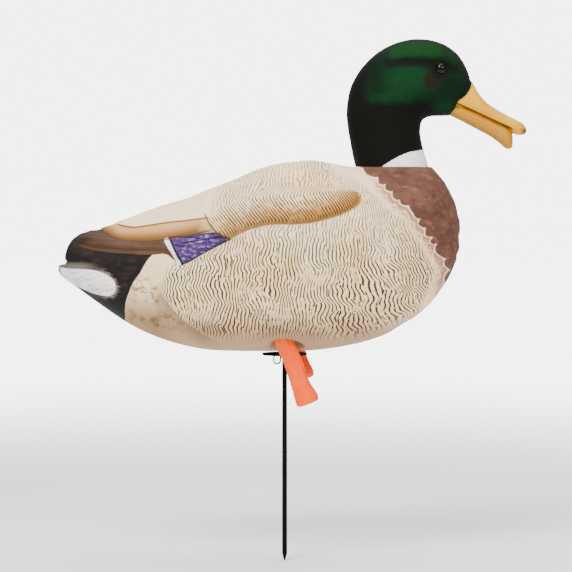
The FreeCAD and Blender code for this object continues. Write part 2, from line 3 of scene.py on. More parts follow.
import bpy
import numpy as np
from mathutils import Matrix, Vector


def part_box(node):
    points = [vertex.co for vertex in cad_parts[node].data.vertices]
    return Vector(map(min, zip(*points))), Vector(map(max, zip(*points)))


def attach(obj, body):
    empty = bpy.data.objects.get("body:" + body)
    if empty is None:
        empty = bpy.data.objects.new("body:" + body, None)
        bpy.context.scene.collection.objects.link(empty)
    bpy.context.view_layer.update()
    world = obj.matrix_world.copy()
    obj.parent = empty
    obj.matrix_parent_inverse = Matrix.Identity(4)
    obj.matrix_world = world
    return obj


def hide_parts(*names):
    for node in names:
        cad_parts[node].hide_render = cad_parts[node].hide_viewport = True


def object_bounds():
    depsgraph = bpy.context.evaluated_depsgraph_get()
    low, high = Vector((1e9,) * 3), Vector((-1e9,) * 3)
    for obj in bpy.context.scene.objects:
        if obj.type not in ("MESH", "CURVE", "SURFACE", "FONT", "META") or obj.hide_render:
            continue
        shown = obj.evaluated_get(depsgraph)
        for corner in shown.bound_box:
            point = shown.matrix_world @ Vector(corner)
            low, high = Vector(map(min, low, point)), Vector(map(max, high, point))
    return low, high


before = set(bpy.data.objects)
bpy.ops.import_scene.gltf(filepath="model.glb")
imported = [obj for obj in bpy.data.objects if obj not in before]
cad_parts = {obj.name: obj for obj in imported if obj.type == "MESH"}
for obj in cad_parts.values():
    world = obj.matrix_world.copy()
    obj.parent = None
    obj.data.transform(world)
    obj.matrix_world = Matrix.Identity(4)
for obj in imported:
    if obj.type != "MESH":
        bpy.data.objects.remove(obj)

# A mallard drake field decoy. Outlines are in millimetres in the part's frame: X forward, Z up.
CAD_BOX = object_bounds()
MM = 0.001

# The paint scheme is laid out in side elevation, as it is seen square to the side from this place.
VIEW_DISTANCE = 2600.0
VIEW_HEIGHT = 234.0
AIM = (1.4, 121.0)


# ---------------------------------------------------------------- curves and distances
def smooth_curve(rows, samples):
    """A smooth curve through rows of any width, as evenly spaced samples along it."""
    rows = np.array(rows, float)
    along = np.concatenate([[0], np.cumsum(np.linalg.norm(np.diff(rows, axis=0), axis=1))])
    slope = np.gradient(rows, along, axis=0)
    at = np.linspace(0, along[-1], samples)
    k = np.clip(np.searchsorted(along, at, side="right") - 1, 0, len(along) - 2)
    step = (along[k + 1] - along[k])[:, None]
    f = (at[:, None] - along[k][:, None]) / step
    return (
        rows[k] * (1 + 2 * f) * (1 - f) ** 2
        + slope[k] * step * f * (1 - f) ** 2
        + rows[k + 1] * f ** 2 * (3 - 2 * f)
        + slope[k + 1] * step * f ** 2 * (f - 1)
    )


def distance_to(points, path, closed=False):
    """Distance from each point to a path, the side it lies on (left is positive), and how far
    along the path its nearest place is."""
    path = np.array(path, float)
    if closed:
        path = np.vstack([path, path[:1]])
    best = np.full(len(points), 1e9)
    side = np.ones(len(points))
    along = np.zeros(len(points))
    run = 0.0
    for a, b in zip(path[:-1], path[1:]):
        edge = b - a
        length = np.hypot(*edge)
        offset = points - a
        f = np.clip((offset @ edge) / length ** 2, 0, 1)
        gap = np.linalg.norm(offset - f[:, None] * edge, axis=1)
        near = gap < best
        best[near] = gap[near]
        side[near] = np.sign(edge[0] * offset[near, 1] - edge[1] * offset[near, 0])
        along[near] = run + f[near] * length
        run += length
    return best, side, along


def inside(points, outline):
    """Signed distance to a closed outline, positive inside."""
    path = np.array(outline, float)
    gap = distance_to(points, path, closed=True)[0]
    crossings = np.zeros(len(points), bool)
    for a, b in zip(path, np.roll(path, -1, axis=0)):
        spans = (a[1] > points[:, 1]) != (b[1] > points[:, 1])
        rise = b[1] - a[1] if b[1] != a[1] else 1e-9
        cut = a[0] + (points[:, 1] - a[1]) * (b[0] - a[0]) / rise
        crossings ^= spans & (points[:, 0] < cut)
    return np.where(crossings, gap, -gap)


def step(low, high, value):
    """A smooth rise from 0 at low to 1 at high."""
    f = np.clip((value - low) / (high - low), 0, 1)
    return f * f * (3 - 2 * f)


def bell(value, width):
    """1 where value is 0, falling away to both sides over width."""
    return np.exp(-(value / width) ** 2)


def round_path(points, samples=60):
    """An outline given by a few points, rounded into a smooth path."""
    return smooth_curve(points, samples)


def side_view(points):
    """Where each point appears in side elevation, in millimetres on the middle plane."""
    scale = VIEW_DISTANCE / (VIEW_DISTANCE - np.abs(points[:, 1]))
    across = AIM[0] + (points[:, 0] - AIM[0]) * scale
    up = VIEW_HEIGHT + (points[:, 2] - VIEW_HEIGHT) * scale
    return np.stack([across, up], axis=1)


# ---------------------------------------------------------------- meshes
def grid_normals(grid, wrap=False):
    """Outward unit normals of a grid of points (rows along the form, columns round it)."""
    down = np.gradient(grid, axis=0)
    if wrap:
        around = (np.roll(grid, -1, axis=1) - np.roll(grid, 1, axis=1)) / 2
    else:
        around = np.gradient(grid, axis=1)
    normal = np.cross(around, down)
    return normal / np.maximum(np.linalg.norm(normal, axis=2, keepdims=True), 1e-9)


def grid_faces(rows, columns, wrap=False, flip=False):
    i, j = np.meshgrid(np.arange(rows - 1), np.arange(columns if wrap else columns - 1), indexing="ij")
    k = (j + 1) % columns
    a, b, c, d = i * columns + j, i * columns + k, (i + 1) * columns + k, (i + 1) * columns + j
    order = (a, d, c, b) if flip else (a, b, c, d)
    return np.stack([part.ravel() for part in order], axis=1)


def make_piece(name, points, faces, fields=None):
    """A smooth-shaded mesh from points in millimetres, with a float attribute for each field."""
    mesh = bpy.data.meshes.new(name)
    mesh.from_pydata((points * MM).tolist(), [], faces.tolist() if hasattr(faces, "tolist") else faces)
    for key, values in (fields or {}).items():
        layer = mesh.attributes.new(key, "FLOAT", "POINT")
        layer.data.foreach_set("value", np.ascontiguousarray(values, np.float32))
    mesh.shade_smooth()
    mesh.validate()
    item = bpy.data.objects.new(name, mesh)
    bpy.context.scene.collection.objects.link(item)
    return item


def finish_piece(item, body, material, replaces):
    """Give a piece its material and slot, its body, and the nodes that it stands in for."""
    item.data.materials.append(material)
    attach(item, body)
    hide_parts(*replaces)


# ---------------------------------------------------------------- shaders
def rgb(red, green, blue):
    """A display colour as linear values."""
    parts = [c / 255 for c in (red, green, blue)]
    return [c / 12.92 if c <= 0.04045 else ((c + 0.055) / 1.055) ** 2.4 for c in parts] + [1.0]


class Shader:
    """Short words for building one procedural material."""

    def __init__(self, name):
        self.material = bpy.data.materials.new(name)
        self.material.use_nodes = True
        self.tree = self.material.node_tree
        self.out = self.tree.nodes["Principled BSDF"]
        self.place = self.node("ShaderNodeTexCoord").outputs["Object"]

    def node(self, kind, **settings):
        item = self.tree.nodes.new(kind)
        for key, value in settings.items():
            setattr(item, key, value)
        return item

    def put(self, socket, value):
        if isinstance(value, bpy.types.NodeSocket):
            self.tree.links.new(value, socket)
        else:
            socket.default_value = value

    def field(self, name):
        return self.node("ShaderNodeAttribute", attribute_name=name).outputs["Fac"]

    def math(self, operation, a, b=0.0, c=0.0):
        item = self.node("ShaderNodeMath", operation=operation)
        for socket, value in zip(item.inputs, (a, b, c)):
            self.put(socket, value)
        return item.outputs[0]

    def add(self, a, b):
        return self.math("ADD", a, b)

    def times(self, a, b):
        return self.math("MULTIPLY", a, b)

    def less(self, a, b):
        return self.math("SUBTRACT", a, b)

    def ramp(self, value, low, high, to_low=0.0, to_high=1.0):
        item = self.node("ShaderNodeMapRange", interpolation_type="SMOOTHSTEP")
        for key, part in (("Value", value), ("From Min", low), ("From Max", high),
                          ("To Min", to_low), ("To Max", to_high)):
            self.put(item.inputs[key], part)
        return item.outputs[0]

    def line(self, value, middle, width):
        """1 on a thin line where value is middle, and 0 away from it."""
        return self.ramp(self.math("ABSOLUTE", self.less(value, middle)), width, width * 0.25)

    def noise(self, scale, detail=2.0, rough=0.5, place=None):
        item = self.node("ShaderNodeTexNoise")
        self.put(item.inputs["Vector"], place or self.place)
        item.inputs["Scale"].default_value = scale
        item.inputs["Detail"].default_value = detail
        item.inputs["Roughness"].default_value = rough
        return item.outputs["Fac"]

    def stretched(self, x, y, z, turn=(0, 0, 0)):
        item = self.node("ShaderNodeMapping")
        self.put(item.inputs["Vector"], self.place)
        item.inputs["Scale"].default_value = (x, y, z)
        item.inputs["Rotation"].default_value = turn
        return item.outputs["Vector"]

    def mix(self, amount, a, b):
        item = self.node("ShaderNodeMix", data_type="RGBA")
        self.put(item.inputs[0], amount)
        self.put(item.inputs[6], a)
        self.put(item.inputs[7], b)
        return item.outputs[2]

    def mix_values(self, amount, a, b):
        item = self.node("ShaderNodeMix", data_type="FLOAT")
        for socket, value in zip((item.inputs[0], item.inputs[2], item.inputs[3]), (amount, a, b)):
            self.put(socket, value)
        return item.outputs[0]

    def shade(self, colour, amount):
        """The colour times a brightness."""
        item = self.node("ShaderNodeMix", data_type="RGBA", blend_type="MULTIPLY")
        item.inputs[0].default_value = 1.0
        self.put(item.inputs[6], colour)
        grey = self.node("ShaderNodeCombineColor")
        for socket in grey.inputs:
            self.put(socket, amount)
        self.put(item.inputs[7], grey.outputs[0])
        return item.outputs[2]

    def axis(self, index):
        item = self.node("ShaderNodeSeparateXYZ")
        self.put(item.inputs[0], self.place)
        return item.outputs[index]

    def bump(self, height, distance, strength=1.0, base=None):
        item = self.node("ShaderNodeBump")
        item.inputs["Strength"].default_value = strength
        item.inputs["Distance"].default_value = distance
        self.put(item.inputs["Height"], height)
        if base:
            self.put(item.inputs["Normal"], base)
        return item.outputs[0]

    def done(self, colour, rough, normal=None, **more):
        self.put(self.out.inputs["Base Color"], colour)
        self.put(self.out.inputs["Roughness"], rough)
        if normal:
            self.put(self.out.inputs["Normal"], normal)
        for key, value in more.items():
            self.put(self.out.inputs[key.replace("_", " ")], value)
        return self.material


# ---------------------------------------------------------------- body: form
# Cross-sections of the body: place along X, lowest point, level of the widest point, highest point
# and half width.
BODY_ROWS = [
    (-225.4, 138.3, 139.0, 139.7, 5.0), (-224.6, 134.5, 139.0, 142.4, 14.0),
    (-222.6, 131.4, 139.0, 143.4, 18.0), (-219.4, 128.6, 139.5, 144.6, 21.0),
    (-218.6, 127.8, 141.0, 152.0, 22.0), (-216.4, 126.2, 143.0, 160.5, 25.0),
    (-212.0, 123.0, 144.0, 167.4, 29.0), (-205.0, 118.0, 144.0, 171.6, 33.0),
    (-193.0, 109.2, 143.0, 176.0, 38.5), (-180.0, 99.9, 140.5, 179.2, 43.5),
    (-163.0, 88.2, 137.0, 185.6, 49.5), (-145.0, 78.0, 135.0, 193.0, 56.0),
    (-122.0, 68.2, 134.5, 201.6, 64.5), (-100.0, 61.8, 135.0, 208.0, 71.0),
    (-75.0, 57.4, 137.0, 218.0, 77.0), (-50.0, 56.4, 140.0, 227.6, 81.5),
    (-25.0, 56.2, 142.0, 238.4, 84.5), (0.0, 56.2, 143.0, 244.4, 86.0),
    (22.0, 56.6, 145.0, 246.0, 86.4), (45.0, 58.8, 147.0, 243.6, 85.0),
    (65.0, 62.2, 151.0, 240.4, 82.8), (85.0, 67.2, 155.5, 240.4, 79.0),
    (102.0, 73.5, 160.5, 242.2, 74.2), (118.0, 83.5, 166.0, 243.4, 67.8),
    (133.0, 92.5, 170.5, 243.4, 60.0), (143.5, 102.5, 173.5, 242.0, 52.5),
    (151.5, 111.5, 175.0, 235.5, 45.5), (158.5, 121.5, 175.5, 225.0, 37.5),
    (165.0, 134.0, 175.5, 213.5, 28.5), (170.0, 147.0, 175.5, 203.0, 19.0),
    (173.2, 158.5, 175.5, 191.5, 10.5), (174.5, 174.5, 175.5, 176.5, 0.4),
]
BODY_ROUNDNESS = 2.25
ROWS_ALONG, COLUMNS_ROUND = 410, 232

# Lines of the feather groups in side elevation, from the tail forward.
WING_EDGE = [
    (-206.6, 160.0), (-176.0, 155.0), (-150.0, 153.2), (-131.0, 152.6), (-120.0, 153.5),
    (-104.6, 142.5), (-80.0, 154.5), (-55.0, 168.0), (-35.0, 177.4), (-14.0, 182.4),
    (14.4, 182.8), (37.4, 186.6), (60.0, 194.0), (74.5, 202.5), (78.6, 209.5), (76.5, 217.0),
    (71.0, 228.0), (64.0, 242.0), (60.0, 256.0),
]
CUSHION_TOP = [
    (81.5, 202.5), (80.6, 209.5), (77.5, 214.2), (71.0, 217.2), (60.0, 218.4), (40.0, 219.6),
    (10.0, 222.0), (-20.0, 226.0),
]
SCAPULAR_EDGE = [(-164.6, 182.0), (-154.0, 180.0), (-130.0, 180.8), (-100.0, 185.0), (-77.0, 187.0)]
TAN_EDGE = [
    (-180.0, 176.0), (-167.6, 168.0), (-141.0, 164.6), (-119.0, 166.2), (-95.0, 170.5), (-73.0, 175.5),
]
COVERT_EDGE = [(-77.5, 188.0), (-72.0, 178.0), (-64.6, 171.3), (-55.0, 168.0)]
PRIMARY_LINE = [(-206.0, 162.5), (-190.0, 158.8), (-165.0, 157.2), (-122.0, 157.0)]
FLANK_EDGE = [
    (22.4, 182.0), (41.0, 180.5), (54.0, 180.0), (70.4, 185.6), (85.4, 188.2), (105.0, 194.0),
    (113.0, 196.6),
]
CHEST_EDGE = [
    (58.0, 247.0), (72.0, 240.6), (83.0, 235.6), (93.9, 227.6), (105.5, 216.5), (111.0, 209.6),
    (122.0, 201.6), (130.0, 195.0), (138.0, 182.0), (145.4, 172.0), (151.0, 163.0), (158.6, 150.0),
    (163.6, 139.8), (160.0, 124.0), (150.0, 100.0),
]
RUMP_EDGE = [
    (-128.0, 156.0), (-134.2, 151.0), (-139.5, 143.0), (-144.6, 134.0), (-151.6, 124.0),
    (-156.6, 112.0), (-158.6, 106.0), (-159.6, 84.0),
]
TAIL_PATCH = [
    (-224.8, 139.4), (-214.6, 138.4), (-199.0, 137.8), (-187.6, 136.0), (-176.0, 131.0), (-169.4, 124.0),
    (-169.4, 115.4), (-173.0, 112.0), (-185.8, 112.4), (-200.2, 117.5), (-217.6, 127.3), (-223.4, 133.4),
]
SPECULUM = [
    (-113.6, 168.0), (-90.0, 170.8), (-68.6, 173.4), (-53.0, 168.2), (-78.0, 155.5), (-103.6, 141.5),
]
WHITE_BAR = [(-119.6, 166.0), (-114.8, 167.4), (-103.2, 142.0), (-106.6, 141.2)]
WAVE_START = [
    (-66.0, 66.0), (-81.0, 73.0), (-97.0, 84.0), (-111.0, 97.0), (-120.5, 110.0), (-122.0, 122.0),
    (-118.0, 133.0), (-110.0, 142.0), (-96.0, 150.0), (-64.0, 166.0), (-64.0, 200.0), (-66.0, 260.0),
]

SEAT_PLACE, SEAT_LEVEL = 107.0, 240.0
SEAT_LENGTH, SEAT_WIDTH = 37.2, 32.7
BELLY_HOLE = 17.5
SCREW_CIRCLE, SCREW_SINK, SCREW_FACE = 21.5, 3.2, 57.9

# Each leg's lean in degrees, the X and Z of its lower end, and how far up its skin runs.
LEGS = {"right": (20.7, 23.5, 6.3, 74.0), "left": (13.0, 19.0, 25.0, 51.0)}


def leg_axis(side):
    """The lower end and the direction of one leg; it stands across where the frame has it."""
    lean, forward, height = LEGS[side][:3]
    low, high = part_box(f"{side}_leg")
    across = (low.y + high.y) / 2 / MM
    tilt = math.radians(lean)
    return np.array([forward, across, height]), np.array([-math.sin(tilt), 0, math.cos(tilt)])


def body_grid(sign):
    """One half of the body, before its relief: rows from the tail forward, columns up the side."""
    rows = smooth_curve(BODY_ROWS, ROWS_ALONG)
    turn = np.linspace(-math.pi / 2, math.pi / 2, COLUMNS_ROUND)
    x, low, wide, high, half = [rows[:, k][:, None] for k in range(5)]
    half = np.maximum(half, 0.3)
    rise = np.where(turn > 0, high - wide, wide - low)
    across, up = np.abs(np.cos(turn)), np.abs(np.sin(turn))
    n = BODY_ROUNDNESS
    reach = ((across / half) ** n + (up / np.maximum(rise, 0.3)) ** n) ** (-1 / n)
    y = reach * np.cos(turn)
    z = wide + reach * np.sin(turn)
    y[:, 0] = y[:, -1] = 0.0
    return np.stack([np.broadcast_to(x, y.shape), sign * y, z], axis=2)


def body_fields(points):
    """Signed distances, in millimetres, to the edges of the feather groups."""
    seen = side_view(points)
    fields = {}

    def along_line(name, line, reverse=False):
        gap, side, run = distance_to(seen, round_path(line))
        fields[name] = gap * side * (-1 if reverse else 1)
        return run

    along_line("wing", WING_EDGE)
    gap, side = distance_to(seen, round_path(CUSHION_TOP))[:2]
    fields["cushion"] = 1 - step(-7, 1.5, -gap * side) * step(-10, 45, seen[:, 0])
    along_line("scapular", SCAPULAR_EDGE)
    along_line("tan", TAN_EDGE)
    along_line("covert", COVERT_EDGE)
    along_line("primary", PRIMARY_LINE)
    along_line("flank", FLANK_EDGE)
    fields["chest_run"] = along_line("chest", CHEST_EDGE, reverse=True)
    along_line("rump", RUMP_EDGE, reverse=True)
    along_line("waves", WAVE_START, reverse=True)
    fields["net"], fields["breast"] = net_distance(fields["chest"], fields["chest_run"])
    fields["patch"] = inside(seen, round_path(TAIL_PATCH + TAIL_PATCH[:1])[:-1])
    fields["speculum"] = inside(seen, np.array(SPECULUM))
    fields["bar"] = inside(seen, np.array(WHITE_BAR))
    fields["seen_x"], fields["seen_z"] = seen[:, 0], seen[:, 1]
    return fields


def net_distance(out, run):
    """Distance to the pale edges of the feathers beside the chest, two rows of uneven scallops, and
    the signed distance to the first row, negative on the chest."""
    nearest = np.full(len(out), 99.0)
    first = None
    uneven = run + 2.6 * np.sin(run / 9.3) + 1.3 * np.sin(run / 4.1 + 1.0)
    grown = step(14, 34, run)
    for offset, depth, phase, length in ((0.4, 4.0, 0.0, 12.0), (6.0, 4.6, 0.45, 13.0)):
        scallop = np.abs(np.sin(math.pi * (uneven / length + phase)))
        edge = offset + depth * grown * scallop * (0.85 + 0.25 * np.sin(run / 17.0 + offset))
        nearest = np.minimum(nearest, np.abs(out - edge))
        first = out - edge if first is None else first
    spoke = np.abs((uneven / 12.0 + 0.5) % 1.0 - 0.5) * 12.0
    spoke = np.where((out > -0.5) & (out < 7.5), spoke + 0.25 * out, 99.0)
    return np.minimum(nearest, spoke), first


def body_relief(points, f):
    """Height of the carved relief over the plain form, in millimetres."""
    x, z = f["seen_x"], f["seen_z"]
    rear = 1 - step(-70, -50, x)
    # the folded wing: a cushion above its lower edge, and a crease below it
    front = 1 - step(70, 92, x)
    wing = f["wing"]
    slim = 1 - step(-170, -110, x)
    cushion = 4.6 * step(-0.6, 9, wing) * (1 - step(18 - 12 * slim, 52 - 31 * slim, wing))
    crease = -1.6 * bell(np.minimum(wing, 0) + 1.0, 4.0) * (wing < 4)
    height = (cushion + crease) * front * step(-214, -190, x) * f["cushion"]
    # overlaps between feather groups: a small step at the line, fading away from it
    overlaps = (("scapular", 1.3, -168, -76), ("tan", 1.4, -182, -72), ("covert", 1.3, -80, -54))
    for name, size, low, high in overlaps:
        gap = f[name]
        near = step(low - 4, low + 2, x) * (1 - step(high - 2, high + 4, x))
        height += size * near * step(-0.5, 0.7, gap) * np.exp(-np.maximum(gap, 0) / 9) * (gap > -2)
    height -= 0.7 * bell(f["primary"], 0.9) * step(-206, -198, x) * (1 - step(-128, -122, x))
    flank = f["waves"]
    swell = 1.3 * step(-1.5, 2.5, flank) * np.exp(-np.maximum(flank, 0) / 16)
    height += swell * (1 - step(140, 155, z)) * (flank > -3)
    height -= 1.1 * bell(f["flank"], 2.2) * step(16, 30, x) * (1 - step(108, 122, x))
    # the speculum lies a little under the coverts; its white bar is a raised shaft
    height -= 1.0 * step(0.0, 2.0, f["speculum"])
    height += 0.9 * step(-0.3, 1.2, f["bar"])
    height -= 0.5 * bell(f["speculum"], 0.7) * (f["bar"] < 0) * rear
    # scalloped feather edges beside the chest
    chest = f["chest"]
    run = f["chest_run"]
    height += 0.6 * bell(f["net"], 1.2) * step(26, 40, run) * step(112, 128, z)
    height += 0.9 * step(-1, 1.5, -chest) * np.exp(np.minimum(chest, 0) / 22) * step(16, 28, run)
    # chest feathers: soft overlapping rows
    rows = np.sin(2 * math.pi * (chest - 2.2 * np.abs(np.sin(math.pi * run / 15.0))) / 11.0)
    height += 0.5 * rows * step(-2, -10, chest)
    # the tail: wing tips above, patch below, with the quills' ridges
    height -= 2.2 * bell(f["seen_z"] - 145.5, 2.4) * (1 - step(-212, -196, x))
    quill = np.sin((z - 0.28 * (x + 224)) * 2 * math.pi / 5.2)
    height += 0.45 * quill * step(0, 3, f["patch"])
    height += 0.9 * step(-0.8, 1.2, f["patch"])
    # folded primaries: long ridges
    quill = np.sin((z + 0.06 * (x + 120)) * 2 * math.pi / 4.6)
    height += 0.3 * quill * step(1, 3, wing) * step(0, 2, -f["tan"]) * rear * step(-212, -196, x)
    # low unevenness of the moulded feathers over back and flank
    soft = np.sin(x / 13.0 + 1.7 * np.sin(z / 17.0)) * np.sin(z / 11.0 + 1.3 * np.sin(x / 19.0))
    height += 0.5 * soft * step(-110, -60, x) * step(70, 95, z) * step(60, 52, np.abs(chest))
    return height


def fit_seat(points):
    """The flat seat that the neck stands on, with a short blend down to the form outside it."""
    out = np.hypot((points[:, 0] - SEAT_PLACE) / SEAT_LENGTH, points[:, 1] / SEAT_WIDTH)
    top = points[:, 2] > 200
    blend = (1 - step(1.0, 1.16, out)) * top
    points[:, 2] = points[:, 2] * (1 - blend) + SEAT_LEVEL * blend
    over = top & (points[:, 2] > SEAT_LEVEL - 0.2) & (points[:, 0] > 66) & (out < 1.3)
    points[over, 2] = np.minimum(points[over, 2], SEAT_LEVEL)


def fit_belly(points):
    """The round hole under the belly, and the dishes of the four screws round it."""
    low = points[:, 2] < 75
    radius = np.hypot(points[:, 0], points[:, 1])
    near = low & (np.abs(radius - BELLY_HOLE) < 1.0)
    points[near, :2] *= (BELLY_HOLE / radius[near])[:, None]
    for k in range(4):
        turn = math.tau * (k + 0.5) / 4
        spot = SCREW_CIRCLE * np.array([math.cos(turn), math.sin(turn)])
        gap = np.hypot(points[:, 0] - spot[0], points[:, 1] - spot[1])
        dish = low & (gap < SCREW_SINK + 0.8)
        depth = 1 - step(SCREW_SINK - 0.5, SCREW_SINK + 0.8, gap[dish])
        points[dish, 2] += (SCREW_FACE - points[dish, 2]) * depth


def fit_legs(points, fields):
    """A shallow recess round each leg, and how near each point is to a leg."""
    nearest = np.full(len(points), 99.0)
    for side in ("right", "left"):
        foot, way = leg_axis(side)
        offset = points - foot
        height = offset @ way
        gap = np.linalg.norm(offset - height[:, None] * way, axis=1)
        gap[height < 20] = 99
        gap[points[:, 2] > 110] = 99
        nearest = np.minimum(nearest, gap)
        sink = 6.5 * (1 - step(9.0, 17.5, gap))
        points += sink[:, None] * np.array([0, 0, 1.0])
    fields["leg"] = nearest


def build_body(material):
    for name, sign in (("body_skin_right", -1), ("body_skin_left", 1)):
        grid = body_grid(sign)
        shape = grid.shape
        points = grid.reshape(-1, 3).copy()
        normals = grid_normals(grid).reshape(-1, 3) * sign
        fields = body_fields(points)
        height = body_relief(points, fields)
        # nothing is carved on the parting line's own plane, so the halves meet
        meet = np.abs(points[:, 1]) < 0.01
        normals[meet, 1] = 0
        points += normals * height[:, None]
        fit_legs(points, fields)
        fit_seat(points)
        fit_belly(points)
        points[meet, 1] = 0
        faces = grid_faces(shape[0], shape[1], flip=sign < 0)
        middle = points[faces].mean(axis=1)
        in_hole = (middle[:, 2] < 75) & (np.hypot(middle[:, 0], middle[:, 1]) < BELLY_HOLE - 0.2)
        in_seat = (middle[:, 2] > 230) & (np.hypot(middle[:, 0] - SEAT_PLACE, middle[:, 1]) < 20.0)
        item = make_piece(name, points, faces[~(in_hole | in_seat)], fields)
        finish_piece(item, "decoy", material, ["body_shell"])


# ---------------------------------------------------------------- body: paint
def body_paint():
    s = Shader("painted_feathers")
    cream, line_brown = rgb(252, 226, 180), rgb(70, 44, 24)
    x, z = s.field("seen_x"), s.field("seen_z")
    wing, chest, rump = s.field("wing"), s.field("chest"), s.field("rump")
    scapular, tan, covert = s.field("scapular"), s.field("tan"), s.field("covert")
    patch, speculum, bar = s.field("patch"), s.field("speculum"), s.field("bar")
    ragged = s.times(s.less(s.noise(420, 3), 0.5), 2.4)
    # wavy lines: bands across X that meander as they go down, with dislocations between patches,
    # and that lean over on the wing's cushion
    slow = s.times(s.less(s.noise(16, 1.0, 0.5, s.stretched(1.4, 0.8, 2.8)), 0.5), 19.0)
    quick = s.times(s.less(s.noise(62, 1.0, 0.5, s.stretched(0.5, 0.5, 1.6)), 0.5), 6.5)
    patches = s.node("ShaderNodeTexVoronoi", feature="F1")
    s.put(patches.inputs["Vector"], s.stretched(1.0, 0.8, 0.7))
    patches.inputs["Scale"].default_value = 62.0
    jump = s.times(s.math("GREATER_THAN", patches.outputs["Color"], 0.55), 1.7)
    cushion = s.times(s.ramp(wing, -1, 4), s.ramp(wing, 38, 22))
    cushion = s.times(cushion, s.field("cushion"))
    lean = s.times(cushion, s.times(s.less(z, 196.0), 0.8))
    forward = s.times(s.ramp(x, 40, 130), s.times(s.less(z, 150.0), 0.4))
    meander = s.times(s.add(s.add(slow, quick), jump), s.less(1.0, s.times(cushion, 0.72)))
    phase = s.add(s.add(x, meander), s.add(lean, forward))
    wave = s.math("SINE", s.times(phase, math.tau / 3.45))
    broken = s.add(s.noise(190, 2, 0.6, s.stretched(1, 1, 0.8)), s.times(s.less(s.noise(26, 1), 0.5), 0.5))
    dark = s.times(s.ramp(wave, 0.0, 0.6), s.ramp(broken, 0.30, 0.50, 0.3, 1.0))
    # where the lines are: not on the smooth wing groups, the belly, the chest or the rump
    above = s.ramp(wing, -0.3, 0.3)
    smooth_wing = s.times(above, s.ramp(s.add(x, s.times(s.less(z, 190.0), -0.25)), -66, -84))
    zone = s.mix_values(above, s.ramp(s.field("waves"), -6, 5), s.less(1.0, smooth_wing))
    fade = s.times(above, s.ramp(wing, 34, 60))
    zone = s.times(zone, s.less(1.0, s.times(fade, 0.35)))
    belly = s.add(z, s.times(s.ramp(x, 60, 150), -22.0))
    zone = s.times(zone, s.ramp(belly, 62, 78))
    zone = s.times(zone, s.ramp(chest, 10, 17))
    zone = s.times(zone, s.ramp(s.field("leg"), 13, 20))
    strength = s.math("MAXIMUM", s.ramp(z, 215, 130, 0.72, 1.0), cushion)
    dark = s.times(s.times(dark, zone), strength)
    # flank and back
    mottled = s.noise(30, 3)
    colour = s.mix(s.ramp(mottled, 0.35, 0.7), cream, rgb(244, 208, 154))
    # painted shade: the flank turns darker brown towards the underside, its upper edge broken up by the
    # mottling
    low = s.ramp(s.add(z, s.times(s.less(mottled, 0.5), 40)), 104, 64)
    colour = s.mix(s.times(low, 0.85), colour, rgb(150, 116, 84))
    # painted shade along the bottom of the rear flank
    rear_low_shade = s.times(s.ramp(x, -95, -128), s.ramp(z, 128, 84))
    colour = s.mix(s.times(rear_low_shade, 0.85), colour, rgb(146, 112, 74))
    edge = s.field("waves")
    # painted shade: a brown band just outside the raised edge of the flank, low towards the rear
    below = s.times(s.ramp(edge, 1.0, -0.8), s.ramp(edge, -15, -2))
    below = s.times(below, s.times(s.ramp(z, 128, 104), s.ramp(x, -60, -85)))
    colour = s.mix(s.times(below, 0.6), colour, rgb(120, 86, 54))
    blot = s.times(s.ramp(s.noise(130, 4, 0.75), 0.48, 0.56), s.ramp(s.noise(38, 1), 0.40, 0.52))
    blot = s.times(blot, s.times(s.ramp(edge, 0, -8), s.ramp(x, -160, -148)))
    blot = s.times(blot, s.times(s.ramp(z, 72, 84), s.ramp(z, 134, 124)))
    colour = s.mix(s.times(blot, 0.75), colour, rgb(104, 70, 44))
    # the band above the wing's lower edge: tan paint, with painted shade where the cushion turns under,
    # strongest low on the cushion and fading upward
    band = s.times(s.ramp(wing, -0.5, 1.2), s.ramp(wing, 27, 7))
    band = s.times(band, s.field("cushion"))
    colour = s.mix(s.times(band, s.ramp(x, -80, 40, 0.75, 1.0)), colour, rgb(182, 128, 58))
    # painted shade along the bottom of the wing's cushion, where it turns under, except at its front end
    under = s.times(s.ramp(wing, -0.5, 0.5), s.ramp(wing, 7, 1))
    under = s.times(under, s.field("cushion"))
    colour = s.mix(s.times(s.times(under, s.ramp(x, 80, 60)), 0.5), colour, rgb(110, 74, 32))
    colour = s.mix(dark, colour, line_brown)
    # the black rump
    black = s.ramp(s.add(rump, s.times(ragged, 0.2)), -0.4, 0.4)
    black = s.times(black, s.ramp(wing, 1.5, 0.6))
    strand = s.noise(210, 2, 0.5, s.stretched(0.35, 1, 1.0, (0, 0.6, 0)))
    rump_colour = s.mix(s.ramp(strand, 0.45, 0.75), rgb(20, 14, 12), rgb(38, 29, 25))
    rump_colour = s.mix(s.ramp(z, 116, 104), rump_colour, rgb(8, 9, 7))
    colour = s.mix(black, colour, rump_colour)
    # smooth groups of the wing
    upper = s.times(smooth_wing, s.ramp(scapular, -0.3, 0.3))
    second = s.times(smooth_wing, s.times(s.ramp(scapular, 0.3, -0.3), s.ramp(tan, -0.3, 0.3)))
    lowest = s.times(smooth_wing, s.ramp(tan, 0.3, -0.3))
    grain = s.noise(60, 4, 0.6, s.stretched(0.25, 1, 1.6))
    colour = s.mix(upper, colour, s.mix(s.ramp(grain, 0.3, 0.7), rgb(250, 226, 184), rgb(242, 208, 158)))
